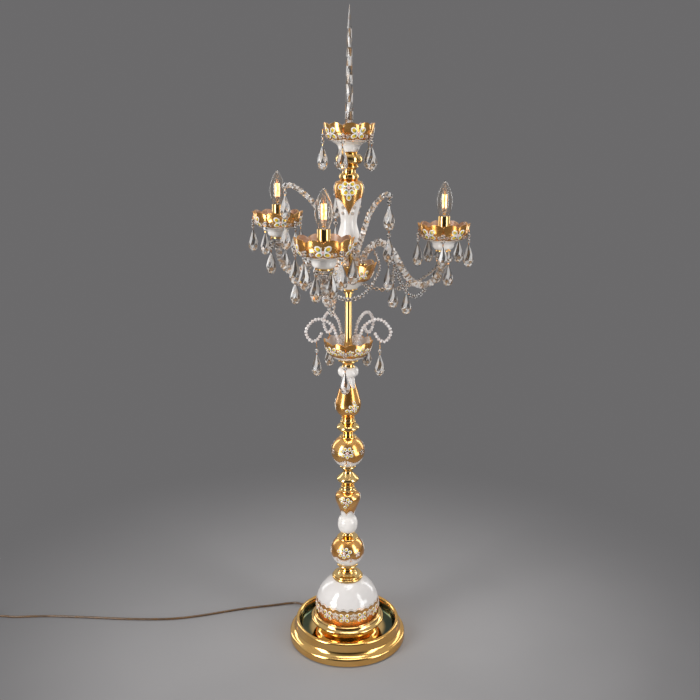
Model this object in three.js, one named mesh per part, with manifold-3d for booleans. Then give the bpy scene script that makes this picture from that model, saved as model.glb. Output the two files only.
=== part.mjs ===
// A crystal floor lamp: a brass base, a column of opal and gilt glass threaded on a tube, three twisted
// glass arms with candle bulbs, curled glass canes, hanging drops and a cut spire. Millimetres, +Z up. The
// origin is on the floor under the column, and the front of the lamp faces -Y. Angles are in degrees,
// counted from the front towards +X.
import * as THREE from "three";
import { mergeVertices } from "three/addons/utils/BufferGeometryUtils.js";
import Module from "manifold-3d";

const wasm = await Module();
wasm.setup();

// Clearances
const SEAT_GAP = 0.3;
const TUBE_CLEARANCE = 0.5;
const GLASS_CLEARANCE = 0.6;
const THREAD_CLEARANCE = 0.3;
const BUTTON_CLEARANCE = 0.3;

// Base and tube
const BASE_RADIUS = 136;
const BASE_WALL = 2;
const FLOOR_HEIGHT = 22;
const FELT_RADIUS = 118;
const FELT_THICKNESS = 2.7;
const COVER_THICKNESS = 2;
const STUD_RADIUS = 5;
const STUDS = 3;
const BALLAST_RADIUS = 124;
const BALLAST_THICKNESS = 11.7;
const TUBE_RADIUS = 5;
const TUBE_BORE = 3;
const NUT_RADIUS = 10;
const NUT_HEIGHT = 7.7;

// Column
const DOME_RADIUS = 74.3;
const DOME_SKIRT = 21.7;
const DOME_CAP = 10;
const DOME_WALL = 4;
const DOME_SEAT_RISE = 41.7;
const SEAT_WALL = 2.5;
const LOWER_BALL_RADIUS = 38.8;
const LOWER_BALL_CAP = 20;
const UPPER_BALL_RADIUS = 37.8;
const UPPER_BALL_CAP = 16;
const ROD_RADIUS = 7.3;
const ROD_LENGTH = 143.4;
const ROD_FOOT_RADIUS = 29;
const ROD_FOOT_HEIGHT = 8.4;
const ROD_BOSS_RADIUS = 17;
const ROD_BOSS_HEIGHT = 4.3;

// Scalloped cups
const LOBES = 10;
const LOBE_STEPS = 2;
const LOBE_DIP = 6.5;
const LOBE_CREASE = 2.5;
const CUP_WALL = 3.6;
const MIDDLE_CUP_RADIUS = 54.5;
const MIDDLE_CUP_HEIGHT = 45;
const HUB_CUP_RADIUS = 61;
const HUB_CUP_HEIGHT = 57;
const TOP_CUP_RADIUS = 54.5;
const TOP_CUP_HEIGHT = 58;
const CANDLE_CUP_RADIUS = 58;
const CANDLE_CUP_HEIGHT = 58.7;

// Hub, arms and canes
const PLATE_RADIUS = 40;
const PLATE_TOP = 29.8;
const SOCKET_HEIGHT = 18;
const SOCKET_DRILLING = 2;
const SOCKET_WALL = 1.5;
const ARM_RADIUS = 7;
const ARM_SOCKET_DISTANCE = 32;
const ARM_REACH = 219;
const ARM_RISE = 22;
const ARM_TURNS = 3.2;
const ARMS = [
  { side: "front", angle: -12.14, lift: -5, dropAngle: 36 },
  { side: "right", angle: 107.86, lift: -6, dropAngle: -7 },
  { side: "left", angle: -132.14, lift: 12, dropAngle: 47.6 },
];
const CANE_RADIUS = 6.3;
const CANE_TIP_RADIUS = 5;
const CANE_BALL_RADIUS = 6.6;
const CANE_SOCKET_DISTANCE = 23;
const CANES = [
  { angle: 37, lift: 0 },
  { angle: -83, lift: 13 },
  { angle: -167, lift: 0 },
];
const CURL_RADIUS = 3.3;
const CURL_CLEARANCE = 0.5;
const CURL_DISTANCE = 22;
const CURL_SEAT_DEPTH = 3;
const CURL_ANGLES = [72, 144, -144, -72];

// Candles
const GALLERY_HEIGHT = 25;
const GALLERY_SOCKET = 12;
const NIPPLE_RADIUS = 5;
const NIPPLE_LENGTH = 13;
const SLEEVE_RADIUS = 13;
const SLEEVE_HEIGHT = 69.4;
const SLEEVE_MOUTH = 6;
const HOLDER_DEPTH = 28;
const CAP_RADIUS = 7;
const CAP_LENGTH = 26;
const BULB_NECK_RADIUS = 10.5;
const BULB_RADIUS = 18;
const BULB_LENGTH = 77;

// Spire
const SPIRE_RADIUS = 9.2;
const SPIRE_SHOULDER_RADIUS = 4.8;
const SPIRE_CUT_LENGTH = 230;
const SPIRE_LENGTH = 275.4;
const SPIRE_ROWS = 13;
const SPIRE_SIDES = 8;
const SPIRE_SOCKET_HEIGHT = 19.4;
const TUBE_GRIP = 3.4;
const SOCKET_WEB = 1.7;

// Hanging crystal
const PIN_RADIUS = 0.8;
const BEAD_RADIUS = 4.7;
const DROP_LENGTH = 49;
const DROP_RADIUS = 10.4;
const CHAIN_SIDES = 4;
const HOOK_REACH = 3.6;
const HOOK_SHARE = 0.8;
const RING_RADIUS = 2.1;
const RING_WIRE = 0.6;
const RING_SAG = 0.3;
const TOP_NOTCH_ANGLE = -14;
const MIDDLE_NOTCH_ANGLE = -7;
const TOP_DROPS = 5;

// Cord, switch and plug
const CORD_DIAMETER = 5.5;
const CORD_HEIGHT = 2.85;
const EXIT_ANGLE = -135;
const EXIT_HEIGHT = 9.5;
const GLAND_RADIUS = 6.5;
const GLAND_NECK = 4;
const GLAND_LENGTH = 24;
const GLAND_GRIP = 8;
const SWITCH_LENGTH = 70;
const SWITCH_WIDTH = 24;
const SWITCH_HEIGHT = 18;
const SWITCH_ENTRY = 6;
const SWITCH_PLACE = new THREE.Vector3(-868.3, 62, 0.1);
const BUTTON_RADIUS = 10;
const BUTTON_HEIGHT = 8;
const BUTTON_WELL = 7;
const BUTTON_LIFT = 3;
const COIL_CENTRE = new THREE.Vector2(-974, 23);
const COIL_INNER_RADIUS = 21;
const COIL_PITCH = 6;
const COIL_TURNS_BELOW = 3;
const COIL_TURNS_ABOVE = 2.5;
const COIL_LOOP_STEPS = 20;
const COIL_SIDES = 5;
const COIL_LEAD_OUT = 26;
const PLUG_WIDTH = 35;
const PLUG_THICKNESS = 14;
const PLUG_LENGTH = 36;
const PLUG_NECK = 12;
const PLUG_NECK_RADIUS = 4.3;
const PLUG_PIN_LENGTH = 19;
const PLUG_PIN_RADIUS = 2;
const PLUG_PIN_SPACING = 19;

// Facets round a turned piece
const WIDE = 24;
const DOME_SIDES = 16;
const BALL_SIDES = 12;
const NARROW = 10;

const BORE = TUBE_RADIUS + TUBE_CLEARANCE;
const COVER_TOP = FELT_THICKNESS + SEAT_GAP + COVER_THICKNESS;
const { degToRad, lerp, smoothstep, clamp } = THREE.MathUtils;

const lamp = new THREE.Group();

// Finishes, each made anew for its mesh
const finish = (color, roughness, metalness) => () =>
  new THREE.MeshStandardMaterial({ color, roughness, metalness });
const brass = finish(0xd2a237, 0.16, 1);
const steel = finish(0x8d9093, 0.4, 1);
const castIron = finish(0x3a3b3c, 0.75, 0.6);
const felt = finish(0x2c4a38, 0.95, 0);
const opal = finish(0xf6efe0, 0.12, 0);
const gilt = finish(0xcf9b4d, 0.22, 0.5);
const crystal = finish(0xe9f1f2, 0.04, 0);
const cordSkin = finish(0x8a6a3c, 0.4, 0);
const moulding = finish(0x6b4a26, 0.45, 0);

function add(parent, name, geometry, material, height = 0) {
  const mesh = new THREE.Mesh(geometry, material());
  mesh.name = name;
  mesh.position.z = height;
  parent.add(mesh);
  return mesh;
}

// Outlines: a point is a radius and a height, and the outer side of an outline goes up.
const at = (radius, height) => new THREE.Vector2(radius, height);
const flow = (points, steps) => new THREE.SplineCurve(points).getPoints(steps);

// A round moulding, or a waist, between two points; half way up it reaches the radius of its crest.
function swell(low, crest, high, steps) {
  const points = [];
  for (let i = 0; i <= steps; i++) {
    const turn = (Math.PI * i) / steps;
    const bulge = (crest - (low.x + high.x) / 2) * Math.sin(turn);
    const rise = (1 - Math.cos(turn)) / 2;
    points.push(at(lerp(low.x, high.x, i / steps) + bulge, lerp(low.y, high.y, rise)));
  }
  return points;
}

// Half the height of a sphere that is cut flat where its radius is that of the cap.
const capHeight = (radius, cap) => Math.sqrt(radius ** 2 - cap ** 2);

function ball(radius, cap, steps) {
  const points = [];
  for (let i = 0; i <= steps; i++) {
    const angle = Math.acos(cap / radius) * ((2 * i) / steps - 1);
    points.push(at(radius * Math.cos(angle), capHeight(radius, cap) + radius * Math.sin(angle)));
  }
  return points;
}

// The underside of a piece on a glass sphere: level over its cap, then down round it to the piece's edge.
function saddle(radius, cap, edge, steps) {
  const reach = radius + SEAT_GAP;
  const points = [at(BORE, 0)];
  for (let i = 0; i <= steps; i++) {
    const out = lerp(cap, edge, i / steps);
    points.push(at(out, capHeight(reach, out) - capHeight(reach, cap)));
  }
  return points;
}

function turned(outline, sides) {
  const loop = outline[0].x > 0 ? [...outline, outline[0].clone()] : outline;
  return new THREE.LatheGeometry(loop, sides).rotateX(Math.PI / 2);
}

// A piece threaded on the tube: its outline, closed by the bore.
function bored(outline, sides) {
  return turned([at(BORE, outline[0].y), ...outline, at(BORE, outline.at(-1).y)], sides);
}

// A skin and, inside it, the same line set in by the wall. Its two ends are cut level or upright.
function hollow(skin, wall) {
  const last = skin.length - 1;
  const inner = skin.map((point, i) => {
    const run = skin[Math.min(i + 1, last)].clone().sub(skin[Math.max(i - 1, 0)]);
    if (i === 0 || i === last) {
      if (Math.abs(run.x) > Math.abs(run.y)) run.y = 0;
      else run.x = 0;
    }
    run.normalize();
    return at(point.x - run.y * wall, point.y + run.x * wall);
  });
  return [...skin, ...inner.reverse()];
}

// Joining and cutting
function solid(geometry) {
  const bare = geometry.index ? geometry.toNonIndexed() : geometry.clone();
  bare.deleteAttribute("normal");
  bare.deleteAttribute("uv");
  const merged = mergeVertices(bare, 1e-3);
  const mesh = new wasm.Mesh({
    numProp: 3,
    vertProperties: merged.attributes.position.array,
    triVerts: new Uint32Array(merged.index.array),
  });
  return new wasm.Manifold(mesh);
}

function surface(corners, faces) {
  const geometry = new THREE.BufferGeometry();
  geometry.setAttribute("position", new THREE.Float32BufferAttribute(corners, 3));
  geometry.setIndex(faces);
  geometry.computeVertexNormals();
  return geometry;
}

function geometryOf(body) {
  const mesh = body.getMesh();
  return surface(Array.from(mesh.vertProperties), Array.from(mesh.triVerts));
}

const join = (first, pieces) =>
  geometryOf(pieces.reduce((body, piece) => body.add(solid(piece)), solid(first)));
const cut = (first, tools) =>
  geometryOf(tools.reduce((body, tool) => body.subtract(solid(tool)), solid(first)));

function upright(radius, low, high, sides) {
  const cylinder = new THREE.CylinderGeometry(radius, radius, high - low, sides);
  return cylinder.rotateX(Math.PI / 2).translate(0, 0, (low + high) / 2);
}

// Moves a shape out from the column, then round it.
const outAt = (geometry, angle, distance) => geometry.translate(distance, 0, 0).rotateZ(degToRad(angle - 90));

// Bars along a path: a ring of corners at each point, turning evenly if asked to, and a cap at each end.
function tube({ points, normals, binormals }, radii, sides, turns = 0) {
  const last = points.length - 1;
  const corners = [];
  const faces = [];
  const corner = (i, k) => i * sides + (k % sides);
  points.forEach((point, i) => {
    for (let k = 0; k < sides; k++) {
      const angle = 2 * Math.PI * (k / sides + (turns * i) / last);
      const out = normals[i].clone().multiplyScalar(Math.cos(angle));
      out.addScaledVector(binormals[i], Math.sin(angle));
      corners.push(...point.clone().addScaledVector(out, radii[i]).toArray());
    }
  });
  for (let i = 0; i < last; i++) {
    for (let k = 0; k < sides; k++) {
      faces.push(corner(i, k), corner(i, k + 1), corner(i + 1, k + 1));
      faces.push(corner(i, k), corner(i + 1, k + 1), corner(i + 1, k));
    }
  }
  for (let k = 1; k < sides - 1; k++) {
    faces.push(corner(0, 0), corner(0, k + 1), corner(0, k));
    faces.push(corner(last, 0), corner(last, k), corner(last, k + 1));
  }
  return surface(corners, faces);
}

function along(points, steps) {
  const curve = new THREE.CatmullRomCurve3(points, false, "centripetal");
  return { points: curve.getSpacedPoints(steps), ...curve.computeFrenetFrames(steps, false) };
}

// A path in the upright plane through the column, given as distances from it and heights.
const outward = (places) => places.map(([distance, height]) => new THREE.Vector3(distance, 0, height));
const taper = (from, to, steps) => Array.from({ length: steps + 1 }, (_, i) => lerp(from, to, i / steps));

// Hanging crystal, from the lowest piece up, on one pin that ends at height 0
const drop = (top, length = DROP_LENGTH, radius = DROP_RADIUS) => [
  at(PIN_RADIUS, top - length),
  at(radius, top - length * 0.67),
  at(PIN_RADIUS, top),
];
const bead = (middle) => [at(PIN_RADIUS, middle - BEAD_RADIUS), at(BEAD_RADIUS, middle)];
function chain(...rows) {
  const [tip, ...points] = rows.flat();
  const neck = at(PIN_RADIUS, points.at(-1).y + BEAD_RADIUS);
  return turned([at(0, tip.y), ...points, neck, at(PIN_RADIUS, 0), at(0, 0)], CHAIN_SIDES);
}
const cupChain = () => chain(drop(-31), bead(-22), bead(-11));

// Scalloped cups. A notch counts 1 in the crease between two lobes and 0 at the crest of a lobe.
function scallop(geometry, foot, rim) {
  const place = geometry.attributes.position;
  for (let i = 0; i < place.count; i++) {
    const [x, y, z] = [place.getX(i), place.getY(i), place.getZ(i)];
    const notch = 1 - Math.abs(Math.sin((LOBES / 2) * Math.atan2(x, -y)));
    const depth = notch * clamp((z - foot) / (rim - foot), 0, 1) ** 2;
    const out = Math.hypot(x, y);
    const inward = (out - LOBE_CREASE * depth) / out;
    place.setXYZ(i, x * inward, y * inward, z - LOBE_DIP * depth);
  }
  return geometry;
}

// The bellflower mould that the top cup and the candle cups share: a waisted foot under a wide mouth.
const bellflower = (bore, foot, rim, height) => [
  at(bore, 0),
  at(foot, 0),
  at(foot + 5, height * 0.21),
  at(rim * 0.74, height * 0.4),
  at(rim * 0.92, height * 0.64),
  at(rim, height),
];

function cup(skin, foot) {
  return scallop(turned(hollow(skin, CUP_WALL), LOBES * LOBE_STEPS), foot, skin.at(-1).y);
}

// Where a hook sits in the notch of a cup: the radius of its wall and its height.
function hookPlace(skin, foot) {
  const height = lerp(foot, skin.at(-1).y, HOOK_SHARE);
  const upper = skin.findIndex((point) => point.y > height);
  const [low, high] = [skin[upper - 1], skin[upper]];
  const out = lerp(low.x, high.x, (height - low.y) / (high.y - low.y));
  return at(out - LOBE_CREASE * HOOK_SHARE ** 2, height - LOBE_DIP * HOOK_SHARE ** 2);
}

// A chain on a pin through the wall of a cup, in its own notch.
function pinned(place, hanging) {
  const length = HOOK_REACH + CUP_WALL / 2;
  const pin = new THREE.BoxGeometry(length, 2 * PIN_RADIUS, 2 * PIN_RADIUS);
  pin.translate(place.x + HOOK_REACH + PIN_RADIUS - length / 2, 0, place.y);
  return [pin, hanging.translate(place.x + HOOK_REACH, 0, place.y)];
}

const atNotch = (pieces, angle) => pieces.map((piece) => piece.rotateZ(degToRad(angle - 90)));

// Base
function base() {
  const coverRadius = BASE_RADIUS - BASE_WALL - SEAT_GAP;
  const coverDisc = [at(0, 0), at(coverRadius, 0), at(coverRadius, COVER_THICKNESS), at(0, COVER_THICKNESS)];
  const coverBottom = COVER_TOP - COVER_THICKNESS;
  const studDistance = (FELT_RADIUS + BASE_RADIUS - BASE_WALL) / 2;
  const studs = Array.from({ length: STUDS }, (_, i) =>
    outAt(upright(STUD_RADIUS, -coverBottom, COVER_THICKNESS / 2, 8), (360 * i) / STUDS, studDistance),
  );
  const feltDisc = [at(0, 0), at(FELT_RADIUS, 0), at(FELT_RADIUS, FELT_THICKNESS), at(0, FELT_THICKNESS)];
  const ballastHole = NUT_RADIUS + 4;
  const ballast = [
    at(ballastHole, 0),
    at(BALLAST_RADIUS, 0),
    at(BALLAST_RADIUS, BALLAST_THICKNESS),
    at(ballastHole, BALLAST_THICKNESS),
  ];
  const skin = [
    at(BASE_RADIUS, 3),
    at(BASE_RADIUS, 17),
    at(BASE_RADIUS - 10, 23),
    at(BASE_RADIUS - 14.5, 30),
    at(BASE_RADIUS - 15.5, 46),
    at(BASE_RADIUS - 18.5, 49.5),
    at(BASE_RADIUS - 22.5, 47),
    at(BASE_RADIUS - 25, 30),
    at(BASE_RADIUS - 34, FLOOR_HEIGHT),
    at(BORE, FLOOR_HEIGHT),
  ];
  const cordHole = upright(GLAND_NECK + SEAT_GAP, -2 * GLAND_GRIP, GLAND_GRIP, 8).rotateY(Math.PI / 2);
  cordHole.translate(0, 0, EXIT_HEIGHT);
  const shell = cut(turned(hollow(skin, BASE_WALL), WIDE), [outAt(cordHole, EXIT_ANGLE, BASE_RADIUS)]);
  const nutTop = FLOOR_HEIGHT - BASE_WALL - SEAT_GAP;
  const nut = upright(NUT_RADIUS, nutTop - NUT_HEIGHT, nutTop, 6);
  const nutBore = upright(TUBE_RADIUS + THREAD_CLEARANCE, 0, 2 * nutTop, NARROW);

  add(lamp, "felt_pad", turned(feltDisc, WIDE), felt);
  add(lamp, "base_cover", join(turned(coverDisc, WIDE), studs), brass, coverBottom);
  add(lamp, "ballast_ring", turned(ballast, WIDE), castIron, COVER_TOP + SEAT_GAP);
  add(lamp, "base_shell", shell, brass);
  add(lamp, "tube_nut", cut(nut, [nutBore]), steel);
}

// Each turned piece of the column is threaded on the tube and carries the next one at its rise.
let seat = FLOOR_HEIGHT + SEAT_GAP;
function thread(name, geometry, material, rise) {
  const level = seat;
  seat = level + rise + SEAT_GAP;
  return add(lamp, name, geometry, material, level);
}

function dome() {
  const ring = [
    at(DOME_RADIUS - 2.3, 0),
    at(DOME_RADIUS - 4.3, 4),
    at(DOME_RADIUS - 4.3, 17.7),
    at(DOME_RADIUS + 1.7, 25.7),
    at(DOME_RADIUS + 9.1, 29.7),
    at(DOME_RADIUS + 9.1, 32.7),
    at(DOME_RADIUS - SEAT_GAP, DOME_SEAT_RISE),
  ];
  const height = DOME_SKIRT + capHeight(DOME_RADIUS, DOME_CAP);
  const shell = [at(DOME_RADIUS, 0), ...ball(DOME_RADIUS, DOME_CAP, 8).slice(4)];
  const lift = DOME_SKIRT - capHeight(DOME_RADIUS, DOME_CAP);
  shell.slice(1).forEach((point) => (point.y += lift));
  thread("dome_seat", turned(hollow(ring, SEAT_WALL), DOME_SIDES), brass, DOME_SEAT_RISE);
  thread("glass_dome", turned(hollow(shell, DOME_WALL), DOME_SIDES), opal, height);
  const collar = [
    ...saddle(DOME_RADIUS, DOME_CAP, 35.1, 3),
    at(35.1, -6.2),
    at(30, -1),
    at(28, 2.8),
    at(16, 9.8),
    at(14.8, 17.8),
    at(23.5, 24.3),
    at(23.5, 28.3),
    at(BORE, 28.3),
  ];
  thread("dome_collar", turned(collar, DOME_SIDES), brass, 28.3);
}

function lowerColumn() {
  const lowerBall = ball(LOWER_BALL_RADIUS, LOWER_BALL_CAP, 6);
  thread("ball_lower", bored(lowerBall, BALL_SIDES), gilt, lowerBall.at(-1).y);
  const neck = [
    ...saddle(LOWER_BALL_RADIUS, LOWER_BALL_CAP, 24, 1),
    at(24, -1),
    ...swell(at(19, 1.2), 9.5, at(16, 12.4), 3),
    at(16, 14.4),
    at(BORE, 14.4),
  ];
  thread("neck_lower", turned(neck, BALL_SIDES), brass, 14.4);
  const vase = [
    ...swell(at(15, 0), 23, at(14.5, 37.2), 4),
    ...flow([at(14.5, 37.2), at(18, 52), at(28.6, 82.7), at(26, 94), at(17, 99.7)], 5).slice(1),
  ];
  thread("vase_lower", bored(vase, BALL_SIDES), gilt, 99.7);
  const knop = [
    at(19.2, 0),
    at(19.2, 3.2),
    at(13.7, 10.4),
    ...swell(at(15.5, 18.5), 25.3, at(11, 46.5), 4),
    at(10.9, 50),
    at(17.5, 57),
    at(17.5, 62.4),
  ];
  thread("knop_lower", bored(knop, NARROW), brass, 62.4);
}

function upperColumn() {
  const upperBall = ball(UPPER_BALL_RADIUS, UPPER_BALL_CAP, 6);
  thread("ball_upper", bored(upperBall, BALL_SIDES), gilt, upperBall.at(-1).y);
  const knop = [
    ...saddle(UPPER_BALL_RADIUS, UPPER_BALL_CAP, 18.9, 1),
    at(18.9, 1.5),
    at(11, 5.2),
    ...swell(at(13, 11.5), 25.8, at(13, 34), 4),
    at(17, 35.5),
    at(17, 38),
    at(13.6, 41),
    at(13.6, 46.2),
    at(BORE, 46.2),
  ];
  thread("knop_upper", turned(knop, BALL_SIDES), brass, 46.2);
  const baluster = [
    ...flow([at(13.4, 0), at(25, 13), at(29, 30.2), at(24, 51.7), at(16.6, 77.7), at(13.8, 93)], 6),
    ...swell(at(13.8, 94), 23.2, at(15, 115.7), 4).slice(1),
  ];
  thread("baluster", bored(baluster, BALL_SIDES), gilt, 115.7);
  const neck = [at(15, 0), at(12.8, 4.3), at(14, 8), at(21.5, 13), at(21.5, 16.7)];
  thread("cup_neck", bored(neck, NARROW), brass, 16.7);
}

function middleCup() {
  const foot = 6.5;
  const skin = [
    at(BORE, 0),
    at(20, 0),
    at(MIDDLE_CUP_RADIUS - 18.5, foot),
    at(MIDDLE_CUP_RADIUS - 9.8, 16),
    at(MIDDLE_CUP_RADIUS - 3.7, 27),
    at(MIDDLE_CUP_RADIUS, MIDDLE_CUP_HEIGHT),
  ];
  const hook = hookPlace(skin, foot);
  const hanging = chain(drop(-49), bead(-40), bead(-11));
  const shape = join(cup(skin, foot), atNotch(pinned(hook, hanging), 0));
  thread("mid_cup", shape, gilt, CUP_WALL).rotation.z = degToRad(MIDDLE_NOTCH_ANGLE);
}

function rod() {
  const outline = [
    at(ROD_BOSS_RADIUS, 0),
    at(ROD_BOSS_RADIUS, ROD_BOSS_HEIGHT),
    at(ROD_FOOT_RADIUS, ROD_BOSS_HEIGHT),
    at(ROD_FOOT_RADIUS, ROD_FOOT_HEIGHT),
    ...flow([at(14, ROD_FOOT_HEIGHT), at(9.6, 29.4), at(ROD_RADIUS, 51.4)], 3),
    at(ROD_RADIUS, ROD_LENGTH),
  ];
  const holes = CURL_ANGLES.map((angle) => {
    const floor = ROD_FOOT_HEIGHT - CURL_SEAT_DEPTH;
    const hole = upright(CURL_RADIUS + CURL_CLEARANCE, floor, 2 * ROD_FOOT_HEIGHT, 8);
    return outAt(hole, angle, CURL_DISTANCE);
  });
  const mesh = thread("rod", cut(bored(outline, BALL_SIDES), holes), brass, ROD_LENGTH);
  curls(mesh.position.z + ROD_FOOT_HEIGHT);
}

// Thin canes that rise from the rod's foot, bend over the rim of the middle cup and roll up.
function curls(footTop) {
  const places = outward([
    [CURL_DISTANCE, SEAT_GAP - CURL_SEAT_DEPTH],
    [CURL_DISTANCE, 14],
    [23.4, 32.7],
    [28, 45.5],
    [33.5, 61],
    [42.5, 71],
    [55.9, 79.3],
    [66, 81.5],
    [80, 78],
    [95.5, 59],
    [93, 45],
    [82, 34],
    [70, 37],
    [59.5, 52],
  ]);
  const steps = 22;
  const path = along(places, steps);
  CURL_ANGLES.forEach((angle, i) => {
    const group = new THREE.Group();
    group.rotation.z = degToRad(angle - 90);
    group.position.z = footTop;
    const cane = tube(path, taper(CURL_RADIUS, CURL_RADIUS, steps), 5);
    const hanging = chain(drop(-33, 48), bead(-24)).translate(72, 0, 36);
    add(group, "lower_cane_" + (i + 1), join(cane, [hanging]), crystal);
    lamp.add(group);
  });
}

function hubCup() {
  thread("hub_ferrule", bored([at(10.6, 0), at(10.6, 3), at(19.6, 8), at(19.6, 10.3)], NARROW), brass, 10.3);
  const foot = 14.1;
  const skin = [
    at(BORE, 0),
    at(19.6, 0),
    at(HUB_CUP_RADIUS - 26, foot),
    at(HUB_CUP_RADIUS - 16.4, 19.1),
    at(HUB_CUP_RADIUS - 8.7, 31.1),
    at(HUB_CUP_RADIUS, HUB_CUP_HEIGHT),
  ];
  thread("hub_cup", cup(skin, foot), gilt, CUP_WALL);
}

// The brass hub: a boss on the floor of its cup, the plate with the sockets, and the column through it.
function hub() {
  const outline = [
    at(16, 0),
    at(16, PLATE_TOP - 8),
    at(PLATE_RADIUS, PLATE_TOP - 8),
    at(PLATE_RADIUS, PLATE_TOP),
    at(14, PLATE_TOP),
    at(10, 58),
    at(10, 84),
    at(20, 89),
    at(20, 95.8),
  ];
  const armBore = ARM_RADIUS + GLASS_CLEARANCE;
  const caneBore = CANE_RADIUS + GLASS_CLEARANCE;
  const sockets = [
    ...ARMS.map(({ angle }) => ({ angle, bore: armBore, distance: ARM_SOCKET_DISTANCE })),
    ...CANES.map(({ angle }) => ({ angle, bore: caneBore, distance: CANE_SOCKET_DISTANCE })),
  ];
  const collars = sockets.map(({ angle, bore, distance }) =>
    outAt(upright(bore + SOCKET_WALL, PLATE_TOP - 1, PLATE_TOP + SOCKET_HEIGHT, NARROW), angle, distance),
  );
  const bores = sockets.map(({ angle, bore, distance }) =>
    outAt(upright(bore, PLATE_TOP - SOCKET_DRILLING, PLATE_TOP + 2 * SOCKET_HEIGHT, NARROW), angle, distance),
  );
  const body = cut(join(bored(outline, BALL_SIDES), collars), bores);
  const plateTop = thread("hub_body", body, brass, 95.8).position.z + PLATE_TOP;
  ARMS.forEach((arm) => armWithCandle(arm, plateTop));
  CANES.forEach((cane, i) => upperCane(cane, i + 1, plateTop));
}

function armWithCandle({ side, angle, lift, dropAngle }, plateTop) {
  const group = new THREE.Group();
  group.rotation.z = degToRad(angle - 90);
  group.position.z = plateTop;
  const seatHeight = ARM_RISE + lift;
  const outer = (share, height) => [
    lerp(ARM_SOCKET_DISTANCE, ARM_REACH, share),
    height + lift * smoothstep(share, 0.3, 0.7),
  ];
  const places = outward([
    [ARM_SOCKET_DISTANCE, SEAT_GAP - SOCKET_DRILLING],
    [ARM_SOCKET_DISTANCE, SOCKET_HEIGHT],
    [ARM_SOCKET_DISTANCE, SOCKET_HEIGHT + 8],
    outer(0.064, 48),
    outer(0.182, 62),
    outer(0.321, 50),
    outer(0.471, 10),
    outer(0.567, -14),
    outer(0.701, -29),
    outer(0.856, -25),
    outer(0.957, -6),
    [ARM_REACH, seatHeight - 1],
    [ARM_REACH, seatHeight + GALLERY_SOCKET - SEAT_GAP],
  ]);
  const steps = 32;
  const twisted = tube(along(places, steps), taper(ARM_RADIUS, ARM_RADIUS, steps), 6, ARM_TURNS);
  add(group, "arm_" + side, twisted, crystal);
  const candle = new THREE.Group();
  candle.position.set(ARM_REACH, 0, seatHeight);
  candle.rotation.z = degToRad(dropAngle - angle + 90);
  candleParts(candle, side);
  group.add(candle);
  lamp.add(group);
}

function candleParts(candle, side) {
  const gallery = [
    at(0, GALLERY_SOCKET),
    at(ARM_RADIUS + GLASS_CLEARANCE, GALLERY_SOCKET),
    at(ARM_RADIUS + GLASS_CLEARANCE, 0),
    at(9.2, 0),
    at(11.5, 5),
    at(10, GALLERY_SOCKET + 1),
    at(16, GALLERY_HEIGHT - 3),
    at(16, GALLERY_HEIGHT),
    at(NIPPLE_RADIUS, GALLERY_HEIGHT),
    at(NIPPLE_RADIUS, GALLERY_HEIGHT + NIPPLE_LENGTH),
    at(0, GALLERY_HEIGHT + NIPPLE_LENGTH),
  ];
  add(candle, "gallery_" + side, turned(gallery, NARROW), brass);

  const cupLevel = GALLERY_HEIGHT + SEAT_GAP;
  const nippleHole = NIPPLE_RADIUS + TUBE_CLEARANCE;
  const skin = bellflower(nippleHole, 16.5, CANDLE_CUP_RADIUS, CANDLE_CUP_HEIGHT);
  const foot = CANDLE_CUP_HEIGHT * 0.21;
  const hook = hookPlace(skin, foot);
  const chains = [];
  for (let i = 0; i < LOBES; i += 2) {
    chains.push(...atNotch(pinned(hook, cupChain()), (360 * i) / LOBES));
  }
  add(candle, "candle_cup_" + side, join(cup(skin, foot), chains), gilt, cupLevel);

  const sleeveLevel = cupLevel + CUP_WALL + SEAT_GAP;
  const nippleRoom = GALLERY_HEIGHT + NIPPLE_LENGTH - sleeveLevel + SEAT_GAP;
  const holderBore = CAP_RADIUS + THREAD_CLEARANCE;
  const mouthBore = BULB_NECK_RADIUS + 1.1;
  const sleeve = [
    at(0, nippleRoom),
    at(NIPPLE_RADIUS + THREAD_CLEARANCE, nippleRoom),
    at(NIPPLE_RADIUS + THREAD_CLEARANCE, 0),
    at(SLEEVE_RADIUS, 0),
    at(SLEEVE_RADIUS, SLEEVE_HEIGHT),
    at(mouthBore, SLEEVE_HEIGHT),
    at(mouthBore, SLEEVE_HEIGHT - SLEEVE_MOUTH),
    at(holderBore, SLEEVE_HEIGHT - SLEEVE_MOUTH),
    at(holderBore, SLEEVE_HEIGHT - HOLDER_DEPTH),
    at(0, SLEEVE_HEIGHT - HOLDER_DEPTH),
  ];
  add(candle, "candle_sleeve_" + side, turned(sleeve, NARROW), brass, sleeveLevel);

  const glass = [
    at(BULB_NECK_RADIUS, 0),
    at(BULB_RADIUS * 0.88, 15),
    at(BULB_RADIUS, BULB_LENGTH * 0.39),
    at(BULB_RADIUS * 0.67, BULB_LENGTH * 0.75),
    at(BULB_RADIUS * 0.2, BULB_LENGTH * 0.95),
    at(0, BULB_LENGTH),
  ];
  const bulb = [
    at(0, -CAP_LENGTH),
    at(CAP_RADIUS - 2.5, -CAP_LENGTH),
    at(CAP_RADIUS, 2 - CAP_LENGTH),
    at(CAP_RADIUS, -3),
    ...flow(glass, 6),
  ];
  bulb.at(-1).x = 0;
  add(candle, "bulb_" + side, turned(bulb, NARROW), crystal, sleeveLevel + SLEEVE_HEIGHT);
}

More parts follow.
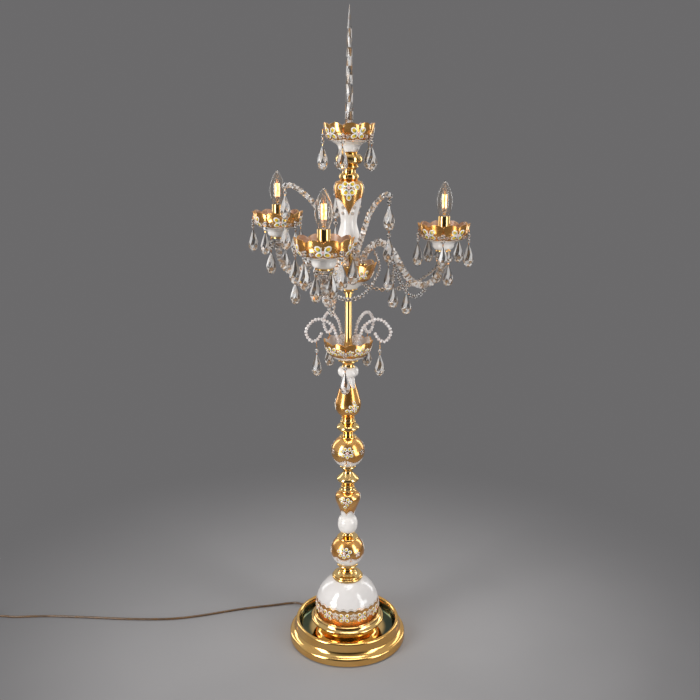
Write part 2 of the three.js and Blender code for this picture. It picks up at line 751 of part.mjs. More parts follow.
function upperCane({ angle, lift }, number, plateTop) {
  const places = outward([
    [CANE_SOCKET_DISTANCE, SEAT_GAP - SOCKET_DRILLING],
    [CANE_SOCKET_DISTANCE, SOCKET_HEIGHT],
    [24.5, 30],
    [33, 56],
    [46.5, 82 + lift / 3],
    [70.5, 129 + lift],
    [99.5, 159 + lift],
    [123, 171.5 + lift],
    [133.5, 170 + lift],
  ]);
  const steps = 22;
  const cane = tube(along(places, steps), taper(CANE_RADIUS, CANE_TIP_RADIUS, steps), 6, 2.4);
  const tip = places.at(-1);
  const tipBall = new THREE.SphereGeometry(CANE_BALL_RADIUS, 6, 4).rotateX(Math.PI / 2);
  const hanging = chain(drop(-84), bead(-78), drop(-20, 50, 10), bead(-13));
  const pieces = [tipBall, hanging].map((piece) => piece.translate(tip.x, 0, tip.z));
  const group = new THREE.Group();
  group.rotation.z = degToRad(angle - 90);
  group.position.z = plateTop;
  add(group, "upper_cane_" + number, join(cane, pieces), crystal);
  lamp.add(group);
}

function upperVase() {
  const vase = flow(
    [
      at(21, 0),
      at(23.3, 12.7),
      at(17.2, 39.7),
      at(18.5, 52.7),
      at(25.2, 79.7),
      at(31.3, 112.7),
      at(27, 124),
      at(17.7, 129.3),
    ],
    9,
  );
  thread("hub_vase", bored(vase, BALL_SIDES), gilt, 129.3);
  const knop = [
    ...swell(at(17.7, 0), 20.9, at(16, 13), 3),
    at(14.4, 18.9),
    at(19.5, 26.5),
    at(19.5, 29.7),
    ...swell(at(17, 30.5), 28.7, at(17, 52.3), 4),
    at(19, 53.5),
    at(19, 56.1),
  ];
  thread("top_knop", bored(knop, NARROW), brass, 56.1);
}

function topCup() {
  const foot = TOP_CUP_HEIGHT * 0.21;
  const skin = bellflower(BORE, 19, TOP_CUP_RADIUS, TOP_CUP_HEIGHT);
  const hook = hookPlace(skin, foot);
  const reach = hook.x + HOOK_REACH;
  const staples = [];
  const angles = [];
  for (let i = 0; i < TOP_DROPS; i++) {
    angles.push((360 * i) / TOP_DROPS);
    staples.push(...atNotch(staple(hook), angles[i]));
  }
  const mesh = thread("top_cup", join(cup(skin, foot), staples), gilt, CUP_WALL);
  mesh.rotation.z = degToRad(TOP_NOTCH_ANGLE);
  angles.forEach((angle, i) => {
    const group = new THREE.Group();
    group.rotation.z = degToRad(TOP_NOTCH_ANGLE + angle - 90);
    const ring = new THREE.TorusGeometry(RING_RADIUS, RING_WIRE, 4, 7).rotateX(Math.PI / 2);
    ring.translate(0, 0, -RING_SAG);
    const hanging = chain(drop(-31), bead(-22), bead(-11)).translate(0, 0, -RING_SAG - RING_RADIUS);
    const pendant = join(ring, [hanging]).translate(reach, 0, hook.y);
    add(group, "top_pendant_" + (i + 1), pendant, crystal, mesh.position.z);
    lamp.add(group);
  });
}

// A wire staple through the wall of the top cup; a drop swings on its crossbar.
function staple(place) {
  const wire = 1.2;
  const width = 5;
  const length = HOOK_REACH + CUP_WALL / 2 + wire / 2;
  const legs = [-1, 1].map((sign) => {
    const leg = new THREE.BoxGeometry(length, wire, wire);
    return leg.translate(place.x + HOOK_REACH + wire / 2 - length / 2, (sign * width) / 2, place.y);
  });
  const crossbar = new THREE.BoxGeometry(wire, width, wire).translate(place.x + HOOK_REACH, 0, place.y);
  return [...legs, crossbar];
}

function spire() {
  const webLow = TUBE_GRIP + SEAT_GAP;
  const webHigh = webLow + SOCKET_WEB;
  const spireBore = SPIRE_RADIUS + GLASS_CLEARANCE;
  const socket = [
    at(0, webLow),
    at(TUBE_RADIUS + THREAD_CLEARANCE, webLow),
    at(TUBE_RADIUS + THREAD_CLEARANCE, 0),
    at(13, 0),
    at(13, 12),
    at(spireBore + 1.5, SPIRE_SOCKET_HEIGHT),
    at(spireBore, SPIRE_SOCKET_HEIGHT),
    at(spireBore, webHigh),
    at(0, webHigh),
  ];
  const level = thread("spire_socket", turned(socket, BALL_SIDES), brass, webHigh).position.z;

  // Rows of long diamonds: each ring of corners stands half a side on from the ring below it.
  const heights = taper(0, SPIRE_CUT_LENGTH, SPIRE_ROWS);
  const radii = heights.map((height) => {
    const share = (height / SPIRE_CUT_LENGTH) ** 1.4;
    return lerp(SPIRE_RADIUS, SPIRE_SHOULDER_RADIUS, share);
  });
  heights.push(SPIRE_LENGTH);
  radii.push(0.5);
  const points = heights.map((height) => new THREE.Vector3(0, 0, height));
  const normals = points.map(() => new THREE.Vector3(1, 0, 0));
  const binormals = points.map(() => new THREE.Vector3(0, 1, 0));
  const halfSteps = -(SPIRE_ROWS + 1) / (2 * SPIRE_SIDES);
  add(lamp, "spire", tube({ points, normals, binormals }, radii, SPIRE_SIDES, halfSteps), crystal, seat);

  const tubeBottom = COVER_TOP + SEAT_GAP;
  const tubeTop = level + TUBE_GRIP;
  const pipe = [
    at(TUBE_BORE, tubeBottom),
    at(TUBE_RADIUS, tubeBottom),
    at(TUBE_RADIUS, tubeTop),
    at(TUBE_BORE, tubeTop),
  ];
  add(lamp, "stem_tube", turned(pipe, NARROW), steel);
}

// Cord. It leaves the back of the base, lies on the floor, runs through a foot switch and ends in a coil that
// lies beside its plug.
function cordRun() {
  const gland = [
    at(0, -GLAND_GRIP),
    at(GLAND_NECK, -GLAND_GRIP),
    at(GLAND_NECK, 0),
    at(GLAND_RADIUS, 0),
    at(GLAND_RADIUS, 3),
    at(GLAND_NECK, GLAND_LENGTH),
    at(0, GLAND_LENGTH),
  ];
  const start = BASE_RADIUS + SEAT_GAP;
  const glandSolid = turned(gland, 8).rotateY(Math.PI / 2);
  add(lamp, "cord_gland", outAt(glandSolid, EXIT_ANGLE, start), moulding, EXIT_HEIGHT);

  const leave = (start + GLAND_LENGTH + SEAT_GAP) / Math.SQRT2;
  const route = [
    [-leave, leave, EXIT_HEIGHT],
    [-120.2, 120.2, 8.7],
    [-131, 127.5, 5.6],
    [-146, 129.5, 3.7],
    [-187, 121, CORD_HEIGHT + 0.1],
    [-254, 106, CORD_HEIGHT],
    [-306, 90, CORD_HEIGHT],
    [-362, 72, CORD_HEIGHT],
    [-422, 58, CORD_HEIGHT],
    [-479, 54, CORD_HEIGHT],
    [-560, 56, CORD_HEIGHT],
    [-650, 62, CORD_HEIGHT],
    [-740, 66, CORD_HEIGHT],
    [-800, 63, CORD_HEIGHT],
    [-828, 62, 3],
    [-848, 62, 4.8],
    [SWITCH_PLACE.x + 8, SWITCH_PLACE.y, SWITCH_ENTRY],
    [SWITCH_PLACE.x + SEAT_GAP, SWITCH_PLACE.y, SWITCH_ENTRY],
  ];
  const path = new THREE.CatmullRomCurve3(
    route.map((place) => new THREE.Vector3(...place)),
    false,
    "centripetal",
  );
  const section = new THREE.Shape(
    Array.from({ length: 8 }, (_, i) => {
      const angle = (2 * Math.PI * i) / 8;
      return new THREE.Vector2(Math.cos(angle), Math.sin(angle)).multiplyScalar(CORD_DIAMETER / 2);
    }),
  );
  const steps = 41;
  add(lamp, "cord_run", new THREE.ExtrudeGeometry(section, { steps, extrudePath: path }), cordSkin);
}

function footSwitch() {
  const half = SWITCH_WIDTH / 2;
  const corner = 8;
  const plan = new THREE.Shape();
  plan.moveTo(-SWITCH_LENGTH, corner - half);
  plan.absarc(corner - SWITCH_LENGTH, corner - half, corner, Math.PI, 1.5 * Math.PI);
  plan.absarc(-corner, corner - half, corner, 1.5 * Math.PI, 2 * Math.PI);
  plan.absarc(-corner, half - corner, corner, 0, Math.PI / 2);
  plan.absarc(corner - SWITCH_LENGTH, half - corner, corner, Math.PI / 2, Math.PI);
  const rounding = { depth: SWITCH_HEIGHT, bevelEnabled: false, curveSegments: 3 };
  const block = new THREE.ExtrudeGeometry(plan, rounding);
  const middle = -SWITCH_LENGTH / 2;
  const wellFloor = SWITCH_HEIGHT - BUTTON_WELL;
  const well = upright(BUTTON_RADIUS + BUTTON_CLEARANCE, wellFloor, 2 * SWITCH_HEIGHT, BALL_SIDES);
  const group = new THREE.Group();
  group.position.copy(SWITCH_PLACE);
  add(group, "switch_body", cut(block, [well.translate(middle, 0, 0)]), moulding);
  const buttonLow = wellFloor + BUTTON_LIFT;
  const button = upright(BUTTON_RADIUS, buttonLow, buttonLow + BUTTON_HEIGHT, BALL_SIDES);
  add(group, "switch_button", button.translate(middle, 0, 0), brass);
  lamp.add(group);
}

// The coil winds inwards on the floor, climbs in the half turn where it reverses, and winds out on itself.
function coilPoint(turn) {
  const radius = COIL_INNER_RADIUS + COIL_PITCH * Math.abs(turn);
  const angle = Math.PI / 2 + 2 * Math.PI * turn;
  const height = CORD_HEIGHT + COIL_PITCH * clamp(2 * turn + 0.5, 0, 1);
  return new THREE.Vector3(
    COIL_CENTRE.x + radius * Math.cos(angle),
    COIL_CENTRE.y + radius * Math.sin(angle),
    height,
  );
}

function coilPoints(loopSteps) {
  const first = coilPoint(-COIL_TURNS_BELOW);
  const last = coilPoint(COIL_TURNS_ABOVE);
  const start = new THREE.Vector3(SWITCH_PLACE.x - SWITCH_LENGTH - SEAT_GAP, first.y, SWITCH_ENTRY);
  const points = [];
  for (let i = 0; i < 5; i++) {
    const lead = start.clone().lerp(first, i / 5);
    lead.z = lerp(start.z, first.z, smoothstep(i / 5, 0.2, 1));
    points.push(lead);
  }
  const count = (COIL_TURNS_BELOW + COIL_TURNS_ABOVE) * loopSteps;
  for (let i = 0; i <= count; i++) points.push(coilPoint(i / loopSteps - COIL_TURNS_BELOW));
  for (let i = 1; i <= 3; i++) {
    points.push(new THREE.Vector3(last.x + (COIL_LEAD_OUT * i) / 3, last.y, last.z));
  }
  return points;
}

// Frames whose normal stays level, for a path that nowhere climbs steeply.
function levelFrames(points) {
  const up = new THREE.Vector3(0, 0, 1);
  const normals = [];
  const binormals = [];
  points.forEach((_, i) => {
    const tangent = points[Math.min(i + 1, points.length - 1)].clone();
    tangent.sub(points[Math.max(i - 1, 0)]).normalize();
    const normal = new THREE.Vector3().crossVectors(up, tangent).normalize();
    normals.push(normal);
    binormals.push(new THREE.Vector3().crossVectors(tangent, normal));
  });
  return { points, normals, binormals };
}

// The least gap between two stretches of a coiled bar of this diameter, leaving out neighbours along it.
function leastSelfGap(points, diameter) {
  let least = Infinity;
  const travelled = [0];
  points.slice(1).forEach((point, i) => travelled.push(travelled[i] + point.distanceTo(points[i])));
  for (let i = 0; i < points.length; i++) {
    for (let j = i + 1; j < points.length; j++) {
      const apart = travelled[j] - travelled[i] > 5 * diameter;
      if (apart) least = Math.min(least, points[i].distanceTo(points[j]));
    }
  }
  return least - diameter;
}

function cordCoil() {
  const points = coilPoints(COIL_LOOP_STEPS);
  const radii = points.map(() => CORD_DIAMETER / 2);
  add(lamp, "cord_coil", tube(levelFrames(points), radii, COIL_SIDES), cordSkin);
  const gap = leastSelfGap(coilPoints(4 * COIL_LOOP_STEPS), CORD_DIAMETER);
  console.log("cord_coil: least gap to itself " + gap.toFixed(2) + " mm");
}

function plug() {
  const half = PLUG_WIDTH / 2;
  const plan = new THREE.Shape([
    new THREE.Vector2(PLUG_NECK, -6),
    new THREE.Vector2(PLUG_NECK + 9, -half),
    new THREE.Vector2(PLUG_NECK + PLUG_LENGTH, -half),
    new THREE.Vector2(PLUG_NECK + PLUG_LENGTH, half),
    new THREE.Vector2(PLUG_NECK + 9, half),
    new THREE.Vector2(PLUG_NECK, 6),
  ]);
  const body = new THREE.ExtrudeGeometry(plan, { depth: PLUG_THICKNESS, bevelEnabled: false });
  const end = coilPoint(COIL_TURNS_ABOVE);
  const neck = upright(PLUG_NECK_RADIUS, 0, PLUG_NECK + 2, 8).rotateY(Math.PI / 2);
  neck.translate(0, 0, end.z - SWITCH_PLACE.z);
  const pins = [-1, 1].map((sign) => {
    const low = PLUG_NECK + PLUG_LENGTH - 2;
    const pin = upright(PLUG_PIN_RADIUS, low, low + 2 + PLUG_PIN_LENGTH, 8).rotateY(Math.PI / 2);
    return pin.translate(0, (sign * PLUG_PIN_SPACING) / 2, PLUG_THICKNESS / 2);
  });
  const mesh = add(lamp, "plug", join(body, [neck, ...pins]), moulding, SWITCH_PLACE.z);
  mesh.position.x = end.x + COIL_LEAD_OUT + SEAT_GAP;
  mesh.position.y = end.y;
}

base();
dome();
lowerColumn();
upperColumn();
middleCup();
rod();
hubCup();
hub();
upperVase();
topCup();
spire();
cordRun();
footSwitch();
cordCoil();
plug();

export default lamp;
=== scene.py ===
"""A crystal floor lamp: brass, opal and gilt glass, twisted canes, cut drops and a cut spire."""

import math

import bmesh
import bpy
from mathutils import Matrix, Vector


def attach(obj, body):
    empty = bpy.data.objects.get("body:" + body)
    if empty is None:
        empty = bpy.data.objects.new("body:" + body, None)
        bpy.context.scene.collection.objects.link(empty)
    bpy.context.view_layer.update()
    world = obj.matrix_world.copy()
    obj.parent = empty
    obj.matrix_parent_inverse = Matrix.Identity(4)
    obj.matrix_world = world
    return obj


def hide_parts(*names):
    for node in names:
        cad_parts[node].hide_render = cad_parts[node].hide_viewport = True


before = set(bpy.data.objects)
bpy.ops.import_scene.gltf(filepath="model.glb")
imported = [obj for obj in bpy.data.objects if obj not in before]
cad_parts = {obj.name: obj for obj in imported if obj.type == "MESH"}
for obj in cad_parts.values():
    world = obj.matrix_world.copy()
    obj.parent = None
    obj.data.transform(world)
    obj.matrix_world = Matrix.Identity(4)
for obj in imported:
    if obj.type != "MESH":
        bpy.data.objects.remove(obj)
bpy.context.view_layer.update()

# Sizes are in millimetres, and meshes are scaled to metres when they are made. Angles are in degrees
# round the column, and 0 faces the camera.
MM = 0.001
BORE = 5.5
SIDES = ("front", "right", "left")
ARM_ANGLES = {"front": -12.14, "right": 107.86, "left": -132.14}
ARM_LIFTS = {"front": -5, "right": -6, "left": 12}
DROP_ANGLES = {"front": 36, "right": -7, "left": 47.6}
ARM_REACH = 219
ARM_SOCKET = 32
CANE_SOCKET = 23
CANE_PLACES = ((37, 0), (-83, 13), (-167, 0))
CURL_ANGLES = (72, 144, -144, -72)
LOBES = 10
CUP_DROPS = 5
TOP_TURN = -14
MIDDLE_TURN = -7
PLATE_TOP = 872.9

# Where each piece begins above the floor
LEVELS = {
    "dome_seat": 22.3,
    "glass_dome": 64.3,
    "dome_collar": 159.9,
    "ball_lower": 188.5,
    "neck_lower": 255.3,
    "vase_lower": 270,
    "knop_lower": 370,
    "ball_upper": 432.7,
    "knop_upper": 501.5,
    "baluster": 548,
    "cup_neck": 664,
    "mid_cup": 681,
    "rod": 684.9,
    "lower_canes": 693.3,
    "hub_ferrule": 828.6,
    "hub_cup": 839.2,
    "hub_body": 843.1,
    "hub_vase": 939.2,
    "top_knop": 1068.8,
    "top_cup": 1125.2,
    "top_staples": 1169.9,
}

# The end of an arm above the hub plate, and where the pieces of its candle begin above that
ARM_END = 22
CUP_SEAT = 25.3
SLEEVE_SEAT = 29.2
BULB_SEAT = 98.6

# Camera, in metres and degrees: the photograph looks slightly down at the lamp from the front.
CAMERA_PLACE = (0.0037, -1.8, 1.1592)
CAMERA_TILT = 14.265
CAMERA_LEAN = 0.24
LENS = 43.55


def link(thing):
    """Puts a new object in the scene."""
    bpy.context.scene.collection.objects.link(thing)
    return thing


def make_camera():
    data = bpy.data.cameras.new("camera")
    data.sensor_width = 36
    data.lens = LENS
    data.clip_start = 0.05
    data.clip_end = 50
    camera = link(bpy.data.objects.new("camera", data))
    tilt = Matrix.Rotation(math.radians(90 - CAMERA_TILT), 4, "X")
    lean = Matrix.Rotation(math.radians(CAMERA_LEAN), 4, "Z")
    camera.matrix_world = Matrix.Translation(CAMERA_PLACE) @ tilt @ lean
    bpy.context.scene.camera = camera


make_camera()


# Paths
PATH_STEPS = 24


def smooth_path(points, count):
    """Points at even distances along a curve through the given ones."""
    points = [Vector(point) for point in points]
    first = points[0] * 2 - points[1]
    last = points[-1] * 2 - points[-2]
    knots = [first, *points, last]
    fine = []
    for i in range(1, len(knots) - 2):
        a, b, c, d = knots[i - 1 : i + 3]
        t1 = (b - a).length ** 0.5
        t2 = t1 + (c - b).length ** 0.5
        t3 = t2 + (d - c).length ** 0.5
        for k in range(PATH_STEPS):
            t = t1 + (t2 - t1) * k / PATH_STEPS
            ab = a * ((t1 - t) / t1) + b * (t / t1)
            bc = b * ((t2 - t) / (t2 - t1)) + c * ((t - t1) / (t2 - t1))
            cd = c * ((t3 - t) / (t3 - t2)) + d * ((t - t2) / (t3 - t2))
            abc = ab * ((t2 - t) / t2) + bc * (t / t2)
            bcd = bc * ((t3 - t) / (t3 - t1)) + cd * ((t - t1) / (t3 - t1))
            fine.append(abc * ((t2 - t) / (t2 - t1)) + bcd * ((t - t1) / (t2 - t1)))
    fine.append(points[-1])
    travelled = [0.0]
    for a, b in zip(fine, fine[1:]):
        travelled.append(travelled[-1] + (b - a).length)
    even = []
    k = 0
    for i in range(count + 1):
        goal = travelled[-1] * i / count
        while k < len(fine) - 2 and travelled[k + 1] < goal:
            k += 1
        share = (goal - travelled[k]) / (travelled[k + 1] - travelled[k])
        even.append(fine[k].lerp(fine[k + 1], share))
    return even


def length_of(points):
    """The length of a line of points."""
    return sum((b - a).length for a, b in zip(points, points[1:]))


def smoothstep(value, low, high):
    """0 below low, 1 above high, and smooth in between."""
    share = min(1.0, max(0.0, (value - low) / (high - low)))
    return share * share * (3 - 2 * share)


# Cord: from the strain relief behind the base over the floor to the switch, and on in a coil
CORD_DIAMETER = 5.5
CORD_GAP = 0.3
LYING = 2.85
RELIEF_END = 136.3 + 24
LEAVE = (RELIEF_END + CORD_GAP) / math.sqrt(2)
SWITCH_END = -868.3
SWITCH_LENGTH = 70
SWITCH_MIDDLE = (62, 6)
COIL_CENTRE = (-974, 23)
COIL_RADIUS = 21
COIL_PITCH = 6
COIL_START, COIL_END = -3, 2.5
COIL_STEPS = 20
PLUG_LEAD = 26
FLOOR_RUN = (
    (-254, 106), (-306, 90), (-362, 72), (-422, 58), (-479, 54),
    (-560, 56), (-650, 62), (-740, 66), (-800, 63),
)
RUN = [
    (-LEAVE, LEAVE, 9.5),
    (-120.2, 120.2, 8.7),
    (-131, 127.5, 5.6),
    (-146, 129.5, 3.7),
    (-187, 121, 2.95),
    *((x, y, LYING) for x, y in FLOOR_RUN),
    (-828, 62, 3),
    (-848, 62, 4.8),
    (SWITCH_END + 8, *SWITCH_MIDDLE),
    (SWITCH_END + CORD_GAP, *SWITCH_MIDDLE),
]


def coil_point(turn):
    """A coil of two layers: turns inwards on the floor, and outwards again on top of them."""
    radius = COIL_RADIUS + COIL_PITCH * abs(turn)
    angle = math.pi / 2 + 2 * math.pi * turn
    height = LYING + COIL_PITCH * min(1.0, max(0.0, 2 * turn + 0.5))
    across = COIL_CENTRE[0] + radius * math.cos(angle)
    return Vector((across, COIL_CENTRE[1] + radius * math.sin(angle), height))


def coil_points():
    """The cord from the switch into the coil, round it, and out to the plug."""
    first = coil_point(COIL_START)
    last = coil_point(COIL_END)
    start = Vector((SWITCH_END - SWITCH_LENGTH - CORD_GAP, first.y, SWITCH_MIDDLE[1]))
    points = []
    for i in range(5):
        lead = start.lerp(first, i / 5)
        lead.z = start.z + (first.z - start.z) * smoothstep(i / 5, 0.2, 1)
        points.append(lead)
    count = int((COIL_END - COIL_START) * COIL_STEPS)
    points += [coil_point(i / COIL_STEPS + COIL_START) for i in range(count + 1)]
    points += [Vector((last.x + PLUG_LEAD * i / 3, last.y, last.z)) for i in (1, 2, 3)]
    return points


def make_cord(name, points, material):
    """A curve of one open spline through the points, as thick as the cord."""
    data = bpy.data.curves.new(name, "CURVE")
    data.dimensions = "3D"
    data.resolution_u = 4
    data.bevel_depth = CORD_DIAMETER / 2 * MM
    data.bevel_resolution = 4
    data.use_fill_caps = True
    spline = data.splines.new("BEZIER")
    spline.bezier_points.add(len(points) - 1)
    for place, knot in zip(points, spline.bezier_points):
        knot.co = place * MM
        knot.handle_left_type = knot.handle_right_type = "AUTO"
    data.materials.append(material)
    piece = link(bpy.data.objects.new(name, data))
    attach(piece, "root")
    return piece


# Materials
def node_of(tree, kind, **values):
    """A node with its properties, and with the inputs that are given by name."""
    node = tree.nodes.new(kind)
    for key, value in values.items():
        if hasattr(node, key):
            setattr(node, key, value)
        else:
            node.inputs[key.replace("_", " ")].default_value = value
    return node


def math_of(tree, operation, first, second=None, clamp=False):
    """A sum on numbers or on the sockets that are given in their place."""
    node = tree.nodes.new("ShaderNodeMath")
    node.operation = operation
    node.use_clamp = clamp
    for socket, value in zip(node.inputs, (first, second)):
        if value is None:
            continue
        if isinstance(value, (int, float)):
            socket.default_value = value
        else:
            tree.links.new(value, socket)
    return node.outputs[0]


def mix_of(tree, factor, first, second):
    """A colour between two others; each value is a number, a colour or a socket."""
    node = tree.nodes.new("ShaderNodeMix")
    node.data_type = "RGBA"
    pairs = ((node.inputs["Factor"], factor), (node.inputs["A"], first), (node.inputs["B"], second))
    for socket, value in pairs:
        if isinstance(value, (int, float)):
            socket.default_value = value
        elif isinstance(value, tuple):
            socket.default_value = (*value, 1)
        else:
            tree.links.new(value, socket)
    return node.outputs["Result"]


def between(tree, value, low, high, new_low=0.0, new_high=1.0):
    """A smooth step while the value goes from low to high."""
    node = tree.nodes.new("ShaderNodeMapRange")
    node.interpolation_type = "SMOOTHSTEP"
    tree.links.new(value, node.inputs["Value"])
    for key, number in (("From Min", low), ("From Max", high), ("To Min", new_low), ("To Max", new_high)):
        node.inputs[key].default_value = number
    return node.outputs["Result"]


def new_group(name, inputs, outputs, vectors=()):
    """A node group with number inputs {name: default}, vector inputs, and outputs {name: kind of socket}."""
    group = bpy.data.node_groups.new(name, "ShaderNodeTree")
    for key in vectors:
        group.interface.new_socket(key, in_out="INPUT", socket_type="NodeSocketVector")
    for key, value in inputs.items():
        socket = group.interface.new_socket(key, in_out="INPUT", socket_type="NodeSocketFloat")
        socket.default_value = value
    for key, kind in outputs.items():
        group.interface.new_socket(key, in_out="OUTPUT", socket_type=kind)
    start = group.nodes.new("NodeGroupInput")
    end = group.nodes.new("NodeGroupOutput")
    return group, start, end


def mottle_group():
    """Uneven polish: a soft cloud that shades the colour, and finer rubbing marks in the gloss."""
    inputs = {"Cloud Scale": 20.0, "Fine Scale": 180.0, "Low Gloss": 0.05, "High Gloss": 0.2}
    outputs = {"Cloud": "NodeSocketFloat", "Roughness": "NodeSocketFloat", "Height": "NodeSocketFloat"}
    group, start, end = new_group("polish_mottle", inputs, outputs)
    coordinates = group.nodes.new("ShaderNodeTexCoord")
    cloud = node_of(group, "ShaderNodeTexNoise", Detail=3.0)
    fine = node_of(group, "ShaderNodeTexNoise", Detail=4.0)
    for noise, key in ((cloud, "Cloud Scale"), (fine, "Fine Scale")):
        group.links.new(coordinates.outputs["Object"], noise.inputs["Vector"])
        group.links.new(start.outputs[key], noise.inputs["Scale"])
    spread = between(group, cloud.outputs["Fac"], 0.35, 0.65)
    blend = math_of(group, "MULTIPLY", math_of(group, "ADD", spread, fine.outputs["Fac"]), 0.5)
    span = math_of(group, "SUBTRACT", start.outputs["High Gloss"], start.outputs["Low Gloss"])
    rough = math_of(group, "ADD", start.outputs["Low Gloss"], math_of(group, "MULTIPLY", span, blend))
    group.links.new(spread, end.inputs["Cloud"])
    group.links.new(rough, end.inputs["Roughness"])
    group.links.new(fine.outputs["Fac"], end.inputs["Height"])
    return group


MOTTLE = mottle_group()
BUMP_DEPTH = 0.0003


def new_material(name, **values):
    """A material with its Principled BSDF; the values are set on the shader's own sockets."""
    material = bpy.data.materials.new(name)
    material.use_nodes = True
    shader = material.node_tree.nodes["Principled BSDF"]
    for key, value in values.items():
        socket = shader.inputs[key.replace("_", " ")]
        socket.default_value = (*value, 1) if isinstance(value, tuple) else value
    return material, material.node_tree, shader


def mottled(tree, cloud, fine, low, high):
    """The mottle with its two scales, and the roughness between its low and its high value."""
    group = tree.nodes.new("ShaderNodeGroup")
    group.node_tree = MOTTLE
    for key, value in zip(("Cloud Scale", "Fine Scale", "Low Gloss", "High Gloss"), (cloud, fine, low, high)):
        group.inputs[key].default_value = value
    return group


def bumped(tree, shader, height, strength):
    """A fine relief on the surface."""
    bump = tree.nodes.new("ShaderNodeBump")
    bump.inputs["Strength"].default_value = strength
    bump.inputs["Distance"].default_value = BUMP_DEPTH
    tree.links.new(height, bump.inputs["Height"])
    tree.links.new(bump.outputs["Normal"], shader.inputs["Normal"])


def polished(name, bright, deep, low, high, metal=1.0, cloud=22.0, fine=260.0, bump=0.05):
    """A glossy finish whose colour runs between two tones and whose gloss is uneven."""
    material, tree, shader = new_material(name, Metallic=metal)
    group = mottled(tree, cloud, fine, low, high)
    colour = mix_of(tree, group.outputs["Cloud"], bright, deep)
    tree.links.new(colour, shader.inputs["Base Color"])
    tree.links.new(group.outputs["Roughness"], shader.inputs["Roughness"])
    bumped(tree, shader, group.outputs["Height"], bump)
    return material


BRASS_BRIGHT = (0.95, 0.66, 0.28)
BRASS_DEEP = (0.88, 0.57, 0.21)
GOLD_BRIGHT = (0.96, 0.53, 0.17)
GOLD_DEEP = (0.82, 0.38, 0.09)
OPAL_WHITE = (0.86, 0.82, 0.78)

brass = polished("polished_brass", BRASS_BRIGHT, BRASS_DEEP, 0.03, 0.11)
foot_brass = polished("brushed_brass", (0.96, 0.60, 0.21), (0.88, 0.50, 0.15), 0.08, 0.2, cloud=9)
steel = polished("zinc_steel", (0.55, 0.56, 0.58), (0.42, 0.43, 0.45), 0.25, 0.5)
iron = polished(
    "cast_iron", (0.06, 0.06, 0.062), (0.035, 0.035, 0.037), 0.6, 0.9, metal=0.6, cloud=40, fine=400, bump=0.5
)
felt = polished(
    "green_felt", (0.03, 0.08, 0.045), (0.015, 0.05, 0.03), 0.85, 1.0, metal=0.0, cloud=60, fine=900, bump=0.6
)
moulding = polished(
    "brown_moulding", (0.16, 0.08, 0.03), (0.11, 0.05, 0.02), 0.25, 0.45, metal=0.0, cloud=40, fine=700
)


def cord_material():
    """Brown cord skin with a plain clear coat."""
    material = polished(
        "cord_skin", (0.13, 0.065, 0.022), (0.07, 0.035, 0.012), 0.18, 0.4, metal=0.0, cloud=90, fine=900
    )
    shader = material.node_tree.nodes["Principled BSDF"]
    shader.inputs["Coat Weight"].default_value = 0.5
    return material


cord_skin = cord_material()

run_points = smooth_path(RUN, 36)
run_piece = make_cord("cord_line", run_points, cord_skin)
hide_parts("cord_run")
coil_path = coil_points()
coil_piece = make_cord("cord_turns", coil_path, cord_skin)
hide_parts("cord_coil")


# Setting, in metres: a plain floor that fades into a plain backdrop, and soft lamps
BACKDROP = (0.148, 0.145, 0.148)
FLOOR_PALE = (0.35, 0.34, 0.34)
FLOOR_DEEP = (0.32, 0.312, 0.312)
ROOM_PALE = (0.42, 0.42, 0.43)
CEILING = (0.75, 0.74, 0.73)
BLACK = (0, 0, 0)
FLOOR_REACH = 1.15
# Name, place, the point it faces, width, height and power
LAMPS = (
    ("key", (-1.75, -1.35, 1.2), (0, 0, 1.0), 0.7, 2.3, 38),
    ("fill", (1.75, -1.25, 1.2), (0, 0, 1.0), 0.6, 2.3, 22),
    ("top", (0.2, -0.3, 3.0), (0, 0, 0.6), 1.4, 1.0, 22),
    ("rim_left", (-1.9, 1.5, 1.2), (0, 0, 0.9), 0.5, 2.0, 9),
    ("rim_right", (1.9, 1.5, 1.2), (0, 0, 0.9), 0.5, 2.0, 9),
    ("low_left", (-0.75, -0.6, 0.3), (-0.1, -0.1, 1.0), 0.4, 0.3, 2.6),
    ("low_right", (0.85, -0.4, 0.3), (0.1, 0, 1.0), 0.4, 0.3, 1.8),
)


def light_paths(tree):
    """The light path, the rays seen straight or through glass, and those with the reflected ones added."""
    path = tree.nodes.new("ShaderNodeLightPath")
    seen = math_of(tree, "ADD", path.outputs["Is Camera Ray"], path.outputs["Is Transmission Ray"], True)
    return path, seen, math_of(tree, "MAXIMUM", seen, path.outputs["Is Glossy Ray"])


def make_world():
    """A plain backdrop; metal also reflects a paler room, and glass bends in a pale ceiling."""
    world = bpy.data.worlds.new("studio")
    bpy.context.scene.world = world
    world.use_nodes = True
    tree = world.node_tree
    background = tree.nodes["Background"]
    coordinates = tree.nodes.new("ShaderNodeTexCoord")
    split = tree.nodes.new("ShaderNodeSeparateXYZ")
    tree.links.new(coordinates.outputs["Generated"], split.inputs[0])
    front = between(tree, split.outputs["Y"], -0.98, -0.2, 0.03, 0.5)
    low = between(tree, split.outputs["Z"], -0.1, 0.9, 0.75, 1.0)
    room = math_of(tree, "MULTIPLY", front, low)
    ceiling = between(tree, split.outputs["Z"], 0.2, 0.6)
    path, seen, shown = light_paths(tree)
    reflected = mix_of(tree, path.outputs["Is Glossy Ray"], ROOM_PALE, room)
    bent = math_of(tree, "MULTIPLY", ceiling, path.outputs["Is Transmission Ray"])
    behind = mix_of(tree, bent, BACKDROP, CEILING)
    tree.links.new(mix_of(tree, seen, reflected, behind), background.inputs["Color"])
    tree.links.new(math_of(tree, "MAXIMUM", shown, 0.8), background.inputs["Strength"])


